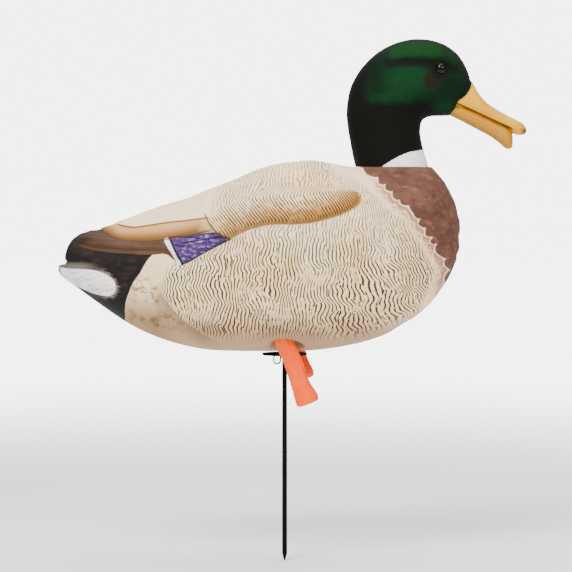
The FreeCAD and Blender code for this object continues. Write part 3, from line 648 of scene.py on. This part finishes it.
    # the tan feather group: tan paint, darkened towards its lower edge as painted shade
    gold = s.mix(s.ramp(tan, 12, 0.5), rgb(202, 150, 94), rgb(118, 78, 30))
    colour = s.mix(second, colour, gold)
    brown = s.mix(s.ramp(x, -150, -205), rgb(92, 66, 48), rgb(42, 27, 19))
    brown = s.mix(s.ramp(grain, 0.35, 0.7), brown, rgb(72, 50, 35))
    colour = s.mix(lowest, colour, brown)
    tip = s.times(s.ramp(wing, -2, 1), s.ramp(x, -196, -210))
    colour = s.mix(tip, colour, rgb(30, 25, 20))
    elbow = s.times(s.times(s.ramp(covert, 0.4, -0.4), s.ramp(wing, -0.5, 0.5)), s.ramp(x, -46, -56))
    elbow = s.times(elbow, s.ramp(x, -80, -76))
    colour = s.mix(s.times(elbow, 0.6), colour, rgb(196, 160, 108))
    # the tail patch and the light strokes beside it
    strokes = s.noise(260, 3, 0.7, s.stretched(0.25, 1, 1.5, (0, -0.5, 0)))
    feathery = s.add(patch, s.times(s.less(strokes, 0.5), 16.0))
    fringe = s.times(s.ramp(feathery, -5.0, 1.0), s.times(s.ramp(x, -200, -174), s.ramp(patch, -8, -2)))
    colour = s.mix(s.times(fringe, 0.55), colour, rgb(150, 140, 128))
    olive = s.times(s.ramp(patch, -9, -2), s.times(s.ramp(z, 137, 139), s.ramp(x, -178, -205)))
    olive = s.times(olive, s.ramp(z, 147, 144))
    colour = s.mix(s.times(olive, 0.85), colour, rgb(106, 100, 88))
    quill = s.noise(120, 3, 0.6, s.stretched(0.22, 1, 1.5, (0, -0.27, 0)))
    white = s.mix(s.ramp(quill, 0.42, 0.7), rgb(246, 243, 240), rgb(205, 198, 192))
    colour = s.mix(s.ramp(s.add(patch, s.times(ragged, 0.4)), -0.5, 0.7), colour, white)
    # the speculum and its bar
    glint = s.noise(300, 3, 0.6, s.stretched(0.5, 1, 1.2, (0, -0.5, 0)))
    violet = s.mix(s.ramp(glint, 0.50, 0.70), rgb(66, 40, 96), rgb(150, 130, 176))
    shadow = s.noise(170, 2, 0.5, s.stretched(0.4, 1, 1.6))
    violet = s.mix(s.ramp(shadow, 0.55, 0.68), violet, rgb(36, 18, 60))
    seam = s.less(z, s.add(161.2, s.times(s.add(x, 108.8), 0.18)))
    violet = s.mix(s.line(seam, 0.0, 1.0), violet, rgb(24, 12, 40))
    violet = s.mix(s.ramp(speculum, 1.8, 0.4), violet, rgb(38, 24, 62))
    colour = s.mix(s.ramp(speculum, -0.3, 0.3), colour, violet)
    outline = s.times(s.line(bar, -1.3, 1.6), s.ramp(speculum, -1.0, 0.2))
    colour = s.mix(outline, colour, rgb(20, 14, 18))
    colour = s.mix(s.ramp(bar, -0.3, 0.4), colour, rgb(240, 238, 240))
    # thin dark lines between the groups
    rear_only = s.ramp(x, -70, -76)
    lines = s.add(s.line(scapular, -0.6, 1.1), s.line(tan, -0.7, 1.4))
    lines = s.times(lines, s.times(rear_only, s.ramp(x, -184, -174)))
    lines = s.add(lines, s.times(s.line(covert, 0.4, 1.4), s.ramp(x, -82, -78)))
    quill_line = s.times(s.ramp(x, -208, -200), s.ramp(x, -120, -128))
    lines = s.add(lines, s.times(s.line(s.field("primary"), 0.0, 1.1), quill_line))
    lines = s.math("MINIMUM", lines, 1.0)
    colour = s.mix(s.times(lines, 0.8), colour, rgb(84, 56, 36))
    # the chest, and the pale net of feather edges beside it
    chest_tone = s.mix(s.ramp(s.noise(55, 4, 0.6), 0.35, 0.7), rgb(84, 53, 42), rgb(104, 69, 54))
    hair = s.noise(130, 3, 0.6, s.stretched(0.35, 1.0, 1.3, (0, 0.5, 0)))
    chest_tone = s.mix(s.ramp(hair, 0.52, 0.70, 0.0, 0.6), chest_tone, rgb(138, 88, 70))
    chest_tone = s.mix(s.ramp(hair, 0.44, 0.34, 0.0, 0.5), chest_tone, rgb(74, 36, 28))
    run = s.field("chest_run")
    net = s.ramp(s.add(s.field("net"), s.times(ragged, 0.5)), 1.25, 0.3)
    front_low = s.ramp(z, 114, 128)
    net = s.times(net, s.times(s.ramp(run, 22, 36), front_low))
    beside = s.times(s.ramp(chest, 13, 7), s.times(s.ramp(run, 24, 60), front_low))
    colour = s.mix(s.times(beside, 0.8), colour, rgb(178, 122, 94))
    breast = s.field("breast")
    near = s.ramp(breast, 5.5, 0.5)
    colour = s.mix(s.times(s.times(near, s.ramp(run, 24, 50)), 0.6), colour, rgb(136, 82, 62))
    colour = s.mix(s.ramp(s.add(breast, s.times(ragged, 0.4)), 0.3, -0.5), colour, chest_tone)
    colour = s.mix(s.times(net, 0.9), colour, rgb(250, 218, 194))
    # painted shade in the recess round each leg, and fine random unevenness of tone
    colour = s.mix(s.ramp(s.field("leg"), 21, 10, 0.0, 0.7), colour, rgb(106, 76, 66))
    fine = s.noise(900, 2)
    colour = s.shade(colour, s.ramp(fine, 0.2, 0.8, 0.93, 1.05))
    relief = s.add(s.times(dark, -1.0), s.times(s.noise(500, 2), 0.35))
    rough = s.add(0.62, s.times(fine, 0.16))
    rough = s.less(rough, s.times(s.ramp(speculum, 0, 1), 0.22))
    return s.done(colour, rough, s.bump(relief, 0.0006, 0.75), Specular_IOR_Level=0.18)


# ---------------------------------------------------------------- head
# Each cross-section of the neck and head lies in a plane square to the side elevation, from a point
# on the outline of nape and crown to one on the throat: outer X and Z, inner X and Z, half width.
HEAD_ROWS = [
    (70.6, 240.1, 143.4, 240.1, 32.0), (69.6, 244.5, 142.2, 244.8, 31.4),
    (67.8, 252.5, 139.8, 252.5, 30.0), (65.6, 264.0, 136.9, 263.0, 28.2),
    (63.2, 278.0, 135.3, 272.5, 27.0), (61.8, 292.0, 135.4, 279.5, 26.6),
    (62.8, 306.0, 136.4, 284.0, 26.8), (66.6, 321.0, 138.4, 287.2, 27.2),
    (74.0, 334.5, 141.4, 289.0, 27.6), (85.0, 347.4, 145.4, 290.2, 27.6),
    (99.0, 357.8, 150.0, 290.6, 27.2), (115.0, 364.6, 154.6, 290.8, 26.4),
    (131.0, 367.2, 158.6, 290.8, 25.0), (146.0, 366.0, 162.0, 290.9, 23.2),
    (160.0, 361.2, 165.0, 291.2, 20.6), (171.6, 352.6, 167.2, 292.2, 17.4),
    (180.0, 340.6, 168.4, 294.6, 14.4), (184.6, 328.4, 168.6, 298.0, 11.8),
    (185.8, 320.0, 169.0, 301.5, 9.6), (184.0, 314.0, 171.0, 305.0, 6.8),
    (180.0, 311.0, 175.0, 308.5, 2.0),
]
HEAD_ROUNDNESS = 2.12
COLLAR_EDGE = [
    (150.0, 258.6), (138.0, 257.0), (124.0, 254.5), (112.0, 249.4), (104.0, 244.6), (98.0, 240.8),
    (93.0, 236.0),
]
BROW = [(104.0, 343.0), (122.0, 344.5), (140.0, 344.0), (158.0, 341.0), (170.0, 337.0)]
EYE = (154.4, 336.8)


def build_head(material):
    rows = smooth_curve(HEAD_ROWS, 300)
    turn = np.linspace(0, math.tau, 240, endpoint=False)
    outer, inner, half = rows[:, 0:2], rows[:, 2:4], rows[:, 4]
    middle = inner + 0.47 * (outer - inner)
    up_reach = np.linalg.norm(outer - middle, axis=1)[:, None]
    down_reach = np.linalg.norm(inner - middle, axis=1)[:, None]
    way = (outer - inner) / np.linalg.norm(outer - inner, axis=1)[:, None]
    rise = np.where(np.sin(turn) > 0, up_reach, down_reach)
    n = HEAD_ROUNDNESS
    reach = ((np.abs(np.cos(turn)) / half[:, None]) ** n + (np.abs(np.sin(turn)) / rise) ** n) ** (-1 / n)
    side = reach * np.cos(turn)
    up = reach * np.sin(turn)
    grid = np.stack([
        middle[:, 0:1] + way[:, 0:1] * up,
        side,
        middle[:, 1:2] + way[:, 1:2] * up,
    ], axis=2)
    shape = grid.shape
    normals = grid_normals(grid, wrap=True).reshape(-1, 3)
    points = grid.reshape(-1, 3).copy()
    if (normals * (points - points.mean(axis=0))).sum() < 0:
        normals = -normals
    seen = side_view(points)
    flat = np.abs(normals[:, 1])
    eye_gap = np.hypot(seen[:, 0] - EYE[0], seen[:, 1] - EYE[1])
    brow_gap, brow_side, brow_run = distance_to(seen, round_path(BROW))
    # a groove under the brow and a ridge over it, a hollow and a rim round the eye, a hollow
    # below the eye, and the full cheek
    height = -2.0 * bell(brow_gap, 4.2) * step(0, 16, brow_run) ** 2 * flat
    height += 0.9 * bell(brow_gap * brow_side - 7.5, 4.0) * flat * step(10, 26, brow_run)
    height -= 1.4 * bell(eye_gap, 9.0) * flat
    height += 1.5 * bell(eye_gap - 6.2, 1.0) * flat
    height -= 0.8 * bell(np.hypot(seen[:, 0] - 150, (seen[:, 1] - 322) / 1.4), 9) * flat
    height += 1.4 * bell(np.hypot((seen[:, 0] - 128) / 1.5, seen[:, 1] - 314), 14) * flat
    ripple = np.sin(points[:, 0] / 3.1 + 2.0 * np.sin(points[:, 2] / 6.3)) * np.sin(points[:, 2] / 2.7)
    height += 0.10 * ripple
    points += normals * height[:, None]
    gap, edge_side = distance_to(seen, round_path(COLLAR_EDGE))[:2]
    fields = {
        "collar": -gap * edge_side,
        "brow": brow_gap, "eye": eye_gap, "seen_x": seen[:, 0], "seen_z": seen[:, 1],
    }
    faces = grid_faces(shape[0], shape[1], wrap=True).tolist()
    last = (shape[0] - 1) * shape[1]
    faces.append(list(range(last, last + shape[1])))
    item = make_piece("head_skin", points, faces, fields)
    finish_piece(item, "head", material, ["head_shell"])


def head_paint():
    s = Shader("flocked_green")
    x, z = s.field("seen_x"), s.field("seen_z")
    slow, fine = s.noise(34, 3), s.noise(1500, 2)
    streak = s.noise(150, 3, 0.6, s.stretched(0.3, 1, 1.3))
    colour = s.mix(s.ramp(slow, 0.4, 0.7), rgb(2, 26, 10), rgb(4, 44, 17))
    colour = s.mix(s.ramp(streak, 0.5, 0.75), colour, rgb(5, 22, 12))
    # painted sheen: brighter green over the top of the crown
    crown = s.times(s.ramp(z, 345, 352), s.times(s.ramp(x, 96, 116), s.ramp(x, 168, 150)))
    colour = s.mix(s.times(crown, 0.6), colour, rgb(5, 54, 12))
    ridge = s.ramp(s.math("ABSOLUTE", s.axis(1)), 0.015, 0.008)
    colour = s.mix(s.times(s.times(ridge, s.ramp(z, 300, 330)), 0.75), colour, rgb(17, 18, 12))
    # painted sheen: brighter green in a patch on the cheek behind the eye
    cheek_x, cheek_z = s.times(s.less(x, 124.0), 0.7), s.less(z, 328.0)
    cheek = s.math("SQRT", s.add(s.times(cheek_x, cheek_x), s.times(cheek_z, cheek_z)))
    colour = s.mix(s.times(s.ramp(cheek, 26, 6), 0.75), colour, rgb(5, 50, 20))
    level = s.add(z, s.add(s.times(s.less(slow, 0.5), 9), s.ramp(x, 132, 165, 0, 13)))
    neck = s.ramp(level, 309, 301)
    neck = s.math("MAXIMUM", neck, s.ramp(s.add(x, s.times(z, -0.12)), 56, 36))
    colour = s.mix(s.times(neck, 0.94), colour, rgb(7, 7, 4))
    # painted shade in the groove under the brow, in the eye's socket and in the hollow below the eye
    colour = s.mix(s.times(s.ramp(s.field("brow"), 7, 2), 0.85), colour, rgb(8, 12, 6))
    colour = s.mix(s.times(s.ramp(s.field("eye"), 15, 6), 0.75), colour, rgb(14, 12, 6))
    under_x, under_z = s.less(x, 147.0), s.less(z, 326.0)
    under = s.math("SQRT", s.add(s.times(under_x, under_x), s.times(under_z, under_z)))
    colour = s.mix(s.times(s.ramp(under, 12, 6), 0.7), colour, rgb(26, 18, 9))
    colour = s.mix(s.ramp(s.add(s.field("collar"), s.times(s.less(s.noise(500, 2), 0.5), 1.2)), -0.5, 0.5),
                   rgb(243, 243, 238), colour)
    colour = s.shade(colour, s.ramp(fine, 0.25, 0.75, 0.82, 1.14))
    return s.done(colour, s.ramp(fine, 0, 1, 0.72, 0.95), s.bump(fine, 0.0004, 0.55),
                  Sheen_Weight=0.03, Sheen_Roughness=0.4, Specular_IOR_Level=0.1)


# ---------------------------------------------------------------- bill
# Cross-sections of each half of the bill, in the same terms as the body's.
UPPER_BILL_ROWS = [
    (160.0, 299.0, 306.0, 318.0, 8.0), (170.0, 299.5, 306.0, 326.0, 9.8),
    (180.0, 296.8, 304.0, 330.0, 11.0), (186.0, 293.8, 301.5, 325.2, 11.5),
    (193.4, 290.4, 297.5, 313.4, 11.3), (200.0, 287.6, 293.5, 305.5, 11.2),
    (212.8, 281.8, 287.5, 296.6, 11.6), (222.0, 278.2, 283.5, 291.5, 12.2),
    (228.5, 272.8, 280.5, 288.1, 12.3), (235.1, 271.6, 277.8, 284.3, 10.4),
    (239.4, 272.6, 276.4, 280.2, 6.2), (241.3, 275.0, 275.6, 276.2, 0.5),
]
LOWER_BILL_ROWS = [
    (160.0, 294.0, 298.0, 301.0, 6.0), (167.0, 290.2, 296.5, 301.5, 9.0),
    (172.0, 287.8, 294.8, 300.8, 9.5), (187.4, 279.8, 289.0, 295.6, 9.9),
    (197.0, 274.7, 284.5, 290.8, 10.1), (206.4, 269.4, 279.5, 286.5, 10.3),
    (215.0, 263.0, 273.5, 283.0, 10.6), (221.7, 257.9, 268.0, 280.4, 9.8),
    (226.0, 258.4, 266.0, 277.0, 6.6), (227.6, 262.6, 265.5, 270.0, 1.0),
]


def bill_half(name, rows, roundness, material, relief):
    """One half of the bill: a closed form through its sections, with its relief."""
    rows = smooth_curve(rows, 150)
    turn = np.linspace(0, math.tau, 120, endpoint=False)
    x, low, wide, high, half = [rows[:, k][:, None] for k in range(5)]
    rise = np.where(np.sin(turn) > 0, high - wide, wide - low)
    n = roundness
    across, up = np.abs(np.cos(turn)), np.abs(np.sin(turn))
    reach = ((across / half) ** n + (up / np.maximum(rise, 0.2)) ** n) ** (-1 / n)
    place = np.broadcast_to(x, reach.shape)
    grid = np.stack([place, reach * np.cos(turn), wide + reach * np.sin(turn)], axis=2)
    shape = grid.shape
    normals = grid_normals(grid, wrap=True).reshape(-1, 3)
    points = grid.reshape(-1, 3).copy()
    if (normals * (points - points.mean(axis=0))).sum() < 0:
        normals = -normals
    points += normals * relief(points)[:, None]
    faces = grid_faces(shape[0], shape[1], wrap=True).tolist()
    faces.append(list(range(shape[1]))[::-1])
    faces.append(list(range((shape[0] - 1) * shape[1], shape[0] * shape[1])))
    seen = side_view(points)
    item = make_piece(name, points, faces, {"seen_x": seen[:, 0], "seen_z": seen[:, 1]})
    finish_piece(item, "head", material, ["bill"])


def upper_relief(points):
    """Nostrils, a groove above the rim, and the nail at the tip."""
    x, y, z = points.T
    rim = 277.5 + (228.0 - x) * 0.46
    height = -0.5 * bell(z - rim - 2.6, 1.0) * step(178, 190, x) * step(232, 224, x)
    height -= 0.8 * bell(np.hypot((x - 199.0) / 3.4, (z - 299.6) / 1.3), 1.0) * (np.abs(y) > 3)
    height += 0.8 * bell(np.hypot((x - 237.5) / 3.6, y / 4.0), 1.0) * (z > 277)
    return height


def lower_relief(points):
    """A groove along each side of the underside."""
    x, y, z = points.T
    return -0.4 * bell(np.abs(y) - 6.0, 1.2) * (z < 285) * step(175, 190, x)


def bill_paint(name, dark):
    s = Shader(name)
    slow, fine = s.noise(60, 3), s.noise(700, 2)
    x, z = s.field("seen_x"), s.field("seen_z")
    colour = s.mix(s.ramp(slow, 0.35, 0.7), rgb(222, 160, 2), rgb(204, 140, 0))
    # painted shade: the yellow darkened by the given amount, strongly for the lower half of the bill
    colour = s.mix(dark, colour, rgb(174, 114, 8))
    tip = s.times(s.ramp(x, 234, 239), s.ramp(z, 280, 276))
    colour = s.mix(s.times(tip, 0.85), colour, rgb(84, 42, 14))
    lips = s.less(z, s.add(277.5, s.times(s.less(228.0, x), 0.46)))
    colour = s.mix(s.times(s.line(lips, 0.0, 1.7), s.ramp(x, 230, 225, 0, 0.9)), colour, rgb(66, 36, 6))
    colour = s.shade(colour, s.ramp(fine, 0.2, 0.8, 0.95, 1.04))
    # the flock of the head runs down over the root of the bill
    out_x, out_z = s.less(x, 165.0), s.less(z, 326.0)
    reach = s.math("SQRT", s.add(s.times(out_x, out_x), s.times(out_z, out_z)))
    flock = s.ramp(s.add(reach, s.times(s.less(s.noise(500, 2), 0.5), 1.0)), 21.9, 21.3)
    colour = s.mix(flock, colour, rgb(2, 24, 11))
    rough = s.add(s.add(0.4, s.times(fine, 0.12)), s.times(flock, 0.4))
    return s.done(colour, rough, s.bump(fine, 0.0002, 0.35), Specular_IOR_Level=s.ramp(flock, 0, 1, 0.3, 0.1))


# ---------------------------------------------------------------- legs
def build_leg(side, material):
    """A soft scaly leg: a flared, rounded end, a waist, and creases down its front and back in its upper
    part.
    """
    foot, way = leg_axis(side)
    length = LEGS[side][3]
    profile = smooth_curve([
        (0.0, 0.2), (0.1, 5.5), (0.3, 8.8), (1.3, 10.0), (4.0, 10.7), (9.0, 10.5), (16.0, 9.8), (25.0, 9.1),
        (length * 0.6, 9.1), (length * 0.85, 9.7), (length, 10.3),
    ], 220)
    turn = np.linspace(0, math.tau, 140, endpoint=False)
    height, radius = profile[:, 0:1], np.maximum(profile[:, 1:2], 0.1)
    fade = step(1.0, 8.0, height) * step(length, length - 14, height)
    scale_row = height / 3.4
    shift = 0.5 * (np.floor(scale_row) % 2)
    column = turn * 14 / math.tau + shift
    scale = np.abs(np.sin(math.pi * scale_row)) * np.abs(np.sin(math.pi * column))
    relief = 0.30 * (np.sqrt(np.clip(scale, 0, 1)) - 0.5) * fade
    crease = -0.9 * bell(np.cos(turn - 0.5), 0.16) * step(24, 40, height)
    swell = 0.5 * np.sin(height / 7.0 + np.cos(turn) * 2.0) * fade
    reach = radius + relief + crease + swell
    spread = 1.0 + 0.10 * np.cos(turn) ** 2 * step(22, 6, height)
    across = np.array([0.0, 1.0, 0.0])
    ahead = np.cross(across, way)
    grid = (
        foot + way * height[..., None]
        + ahead * (reach * spread * np.cos(turn))[..., None]
        + across * (reach * np.sin(turn))[..., None]
    )
    shape = grid.shape
    points = grid.reshape(-1, 3)
    faces = grid_faces(shape[0], shape[1], wrap=True).tolist()
    faces.append(list(range(shape[1]))[::-1])
    fields = {
        "scale": scale.ravel(),
        "rise": np.broadcast_to(height, reach.shape).ravel(),
    }
    item = make_piece(f"{side}_leg_skin", points, faces, fields)
    finish_piece(item, "decoy", material, [f"{side}_leg"])


def leg_paint():
    s = Shader("leg_orange")
    slow, fine = s.noise(90, 3), s.noise(800, 2)
    scale = s.field("scale")
    colour = s.mix(s.ramp(slow, 0.35, 0.7), rgb(250, 92, 0), rgb(246, 70, 0))
    colour = s.mix(s.ramp(scale, 0.45, 0.02, 0.0, 0.25), colour, rgb(226, 56, 2))
    # painted highlight: a little lighter on the crown of each scale
    colour = s.mix(s.times(s.ramp(scale, 0.6, 1.0), 0.1), colour, rgb(255, 140, 40))
    colour = s.mix(s.ramp(s.field("rise"), 56, 68, 0.0, 0.3), colour, rgb(255, 140, 40))
    return s.done(colour, s.add(0.36, s.times(fine, 0.14)), s.bump(fine, 0.0003, 0.4),
                  Specular_IOR_Level=0.12)


# ---------------------------------------------------------------- CAD nodes' own materials
def painted_steel():
    s = Shader("black_painted_steel")
    wear, fine = s.noise(260, 4, 0.7), s.noise(1400, 2)
    bare = s.ramp(wear, 0.74, 0.80)
    colour = s.mix(s.ramp(fine, 0.3, 0.7), rgb(4, 4, 5), rgb(9, 9, 10))
    colour = s.mix(s.times(bare, 0.4), colour, rgb(80, 77, 72))
    return s.done(colour, s.ramp(fine, 0, 1, 0.5, 0.68), s.bump(fine, 0.0001, 0.3),
                  Metallic=s.times(bare, 0.6), Specular_IOR_Level=0.06)


def bright_steel():
    s = Shader("zinc_steel")
    turned, fine = s.noise(900, 3, 0.6, s.stretched(1, 1, 0.1)), s.noise(300, 3)
    colour = s.mix(s.ramp(fine, 0.3, 0.7), rgb(186, 188, 190), rgb(158, 160, 164))
    return s.done(colour, s.ramp(turned, 0.2, 0.8, 0.26, 0.42), s.bump(turned, 0.0001, 0.3), Metallic=1.0)


def moulded(name, light, dark, low_rough, high_rough):
    s = Shader(name)
    slow, fine = s.noise(80, 3), s.noise(1800, 2)
    colour = s.mix(s.ramp(slow, 0.3, 0.7), light, dark)
    return s.done(colour, s.ramp(fine, 0.2, 0.8, low_rough, high_rough), s.bump(fine, 0.0001, 0.3))


def eye_glass():
    """A dark brown iris round a black pupil, under a clear hard coat."""
    s = Shader("eye_glass")
    offset_x = s.less(s.axis(0), EYE[0] * MM)
    offset_z = s.less(s.axis(2), EYE[1] * MM)
    radius = s.math("SQRT", s.add(s.times(offset_x, offset_x), s.times(offset_z, offset_z)))
    rays = s.noise(900, 3)
    iris = s.mix(s.ramp(rays, 0.3, 0.7), rgb(16, 9, 5), rgb(9, 5, 3))
    colour = s.mix(s.ramp(radius, 0.0026, 0.0022), iris, rgb(3, 3, 3))
    return s.done(colour, s.ramp(rays, 0, 1, 0.04, 0.07), None, Specular_IOR_Level=0.2)


def dress_cad():
    steel, zinc = painted_steel(), bright_steel()
    nylon = moulded("natural_nylon", rgb(228, 226, 216), rgb(214, 210, 198), 0.42, 0.6)
    black = moulded("black_polymer", rgb(26, 26, 27), rgb(36, 35, 35), 0.45, 0.65)
    glass = eye_glass()
    finishes = {
        steel: ("stake_rod", "stop_plate", "tether_loop"),
        zinc: (
            "plate_retainer", "pivot_pin", "tower_screws", "lock_ring_screws", "neck_plug_screws",
            "leg_clips",
        ),
        nylon: ("swivel_cap", "neck_plug"),
        black: ("motion_tower", "belly_grommet", "neck_lock_ring"),
        glass: ("right_eye", "left_eye"),
    }
    for material, nodes in finishes.items():
        for node in nodes:
            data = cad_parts[node].data
            data.materials.clear()
            data.materials.append(material)


# ---------------------------------------------------------------- studio
SKY = 5.5
VIEW_RISE = math.radians(2.5)
VIEW_WIDTH = 0.572
SENSOR = 36.0


def studio():
    scene = bpy.context.scene
    camera = bpy.data.objects.new("camera", bpy.data.cameras.new("camera"))
    scene.collection.objects.link(camera)
    distance = VIEW_DISTANCE * MM
    aim = Vector((AIM[0] * MM, 0.0, AIM[1] * MM))
    camera.location = aim + Vector((0, -math.cos(VIEW_RISE), math.sin(VIEW_RISE))) * distance
    camera.rotation_euler = (aim - camera.location).to_track_quat("-Z", "Y").to_euler()
    camera.data.sensor_width = SENSOR
    camera.data.lens = SENSOR * distance / VIEW_WIDTH
    camera.data.clip_end = 30.0
    scene.camera = camera
    # a pale round floor whose far part is as bright as the sky behind it, so no edge shows
    floor_level = CAD_BOX[0].z / MM
    turn = np.linspace(0, math.tau, 97)[:-1]
    rings = np.array([0.01, 1000, 2000, 4000, 9000])
    points = np.array([(r * math.cos(t), r * math.sin(t), floor_level) for r in rings for t in turn])
    floor = make_piece("studio_floor", points, grid_faces(len(rings), len(turn), wrap=True))
    paper = Shader("studio_paper")
    flat = paper.stretched(1, 1, 0)
    length = paper.node("ShaderNodeVectorMath", operation="LENGTH")
    paper.put(length.inputs[0], flat)
    far = paper.ramp(length.outputs["Value"], 0.7, 2.4)
    tone = paper.noise(3, 2)
    paper.put(paper.out.inputs["Emission Color"], (1, 1, 1, 1))
    straight = paper.node("ShaderNodeLightPath").outputs["Is Camera Ray"]
    paper.put(paper.out.inputs["Emission Strength"], paper.times(far, paper.ramp(straight, 0, 1, 0.4, SKY)))
    floor.data.materials.append(paper.done(
        paper.mix(far, paper.mix(tone, (0.9, 0.9, 0.9, 1), (0.93, 0.93, 0.93, 1)), (0, 0, 0, 1)), 0.9))
    lights = (
        ("key", (-0.9, -2.0, 2.3), 1.2, 132.0),
        ("fill", (1.7, -2.3, 1.5), 1.1, 54.0),
        ("top", (0.2, 0.3, 2.6), 2.2, 60.0),
        ("back", (0.6, 2.0, 1.8), 2.0, 26.0),
    )
    for name, spot, size, power in lights:
        data = bpy.data.lights.new(name, "AREA")
        data.size, data.energy = size, power
        item = bpy.data.objects.new(name, data)
        item.location = spot
        item.rotation_euler = (Vector((0, 0, 0.15)) - item.location).to_track_quat("-Z", "Y").to_euler()
        scene.collection.objects.link(item)
    world = bpy.data.worlds.new("studio")
    world.use_nodes = True
    sky = world.node_tree.nodes["Background"]
    sky.inputs[0].default_value = (1.0, 1.0, 1.0, 1)
    seen = world.node_tree.nodes.new("ShaderNodeLightPath")
    level = world.node_tree.nodes.new("ShaderNodeMapRange")
    level.inputs["To Min"].default_value = 0.5
    level.inputs["To Max"].default_value = SKY
    world.node_tree.links.new(seen.outputs["Is Camera Ray"], level.inputs["Value"])
    world.node_tree.links.new(level.outputs[0], sky.inputs[1])
    scene.world = world


studio()
build_body(body_paint())
build_head(head_paint())
yellow, shaded_yellow = bill_paint("bill_yellow", 0.05), bill_paint("bill_yellow_lower_shaded", 0.85)
bill_half("bill_upper_skin", UPPER_BILL_ROWS, 2.25, yellow, upper_relief)
bill_half("bill_lower_skin", LOWER_BILL_ROWS, 2.3, shaded_yellow, lower_relief)
orange = leg_paint()
for leg in ("right", "left"):
    build_leg(leg, orange)
dress_cad()
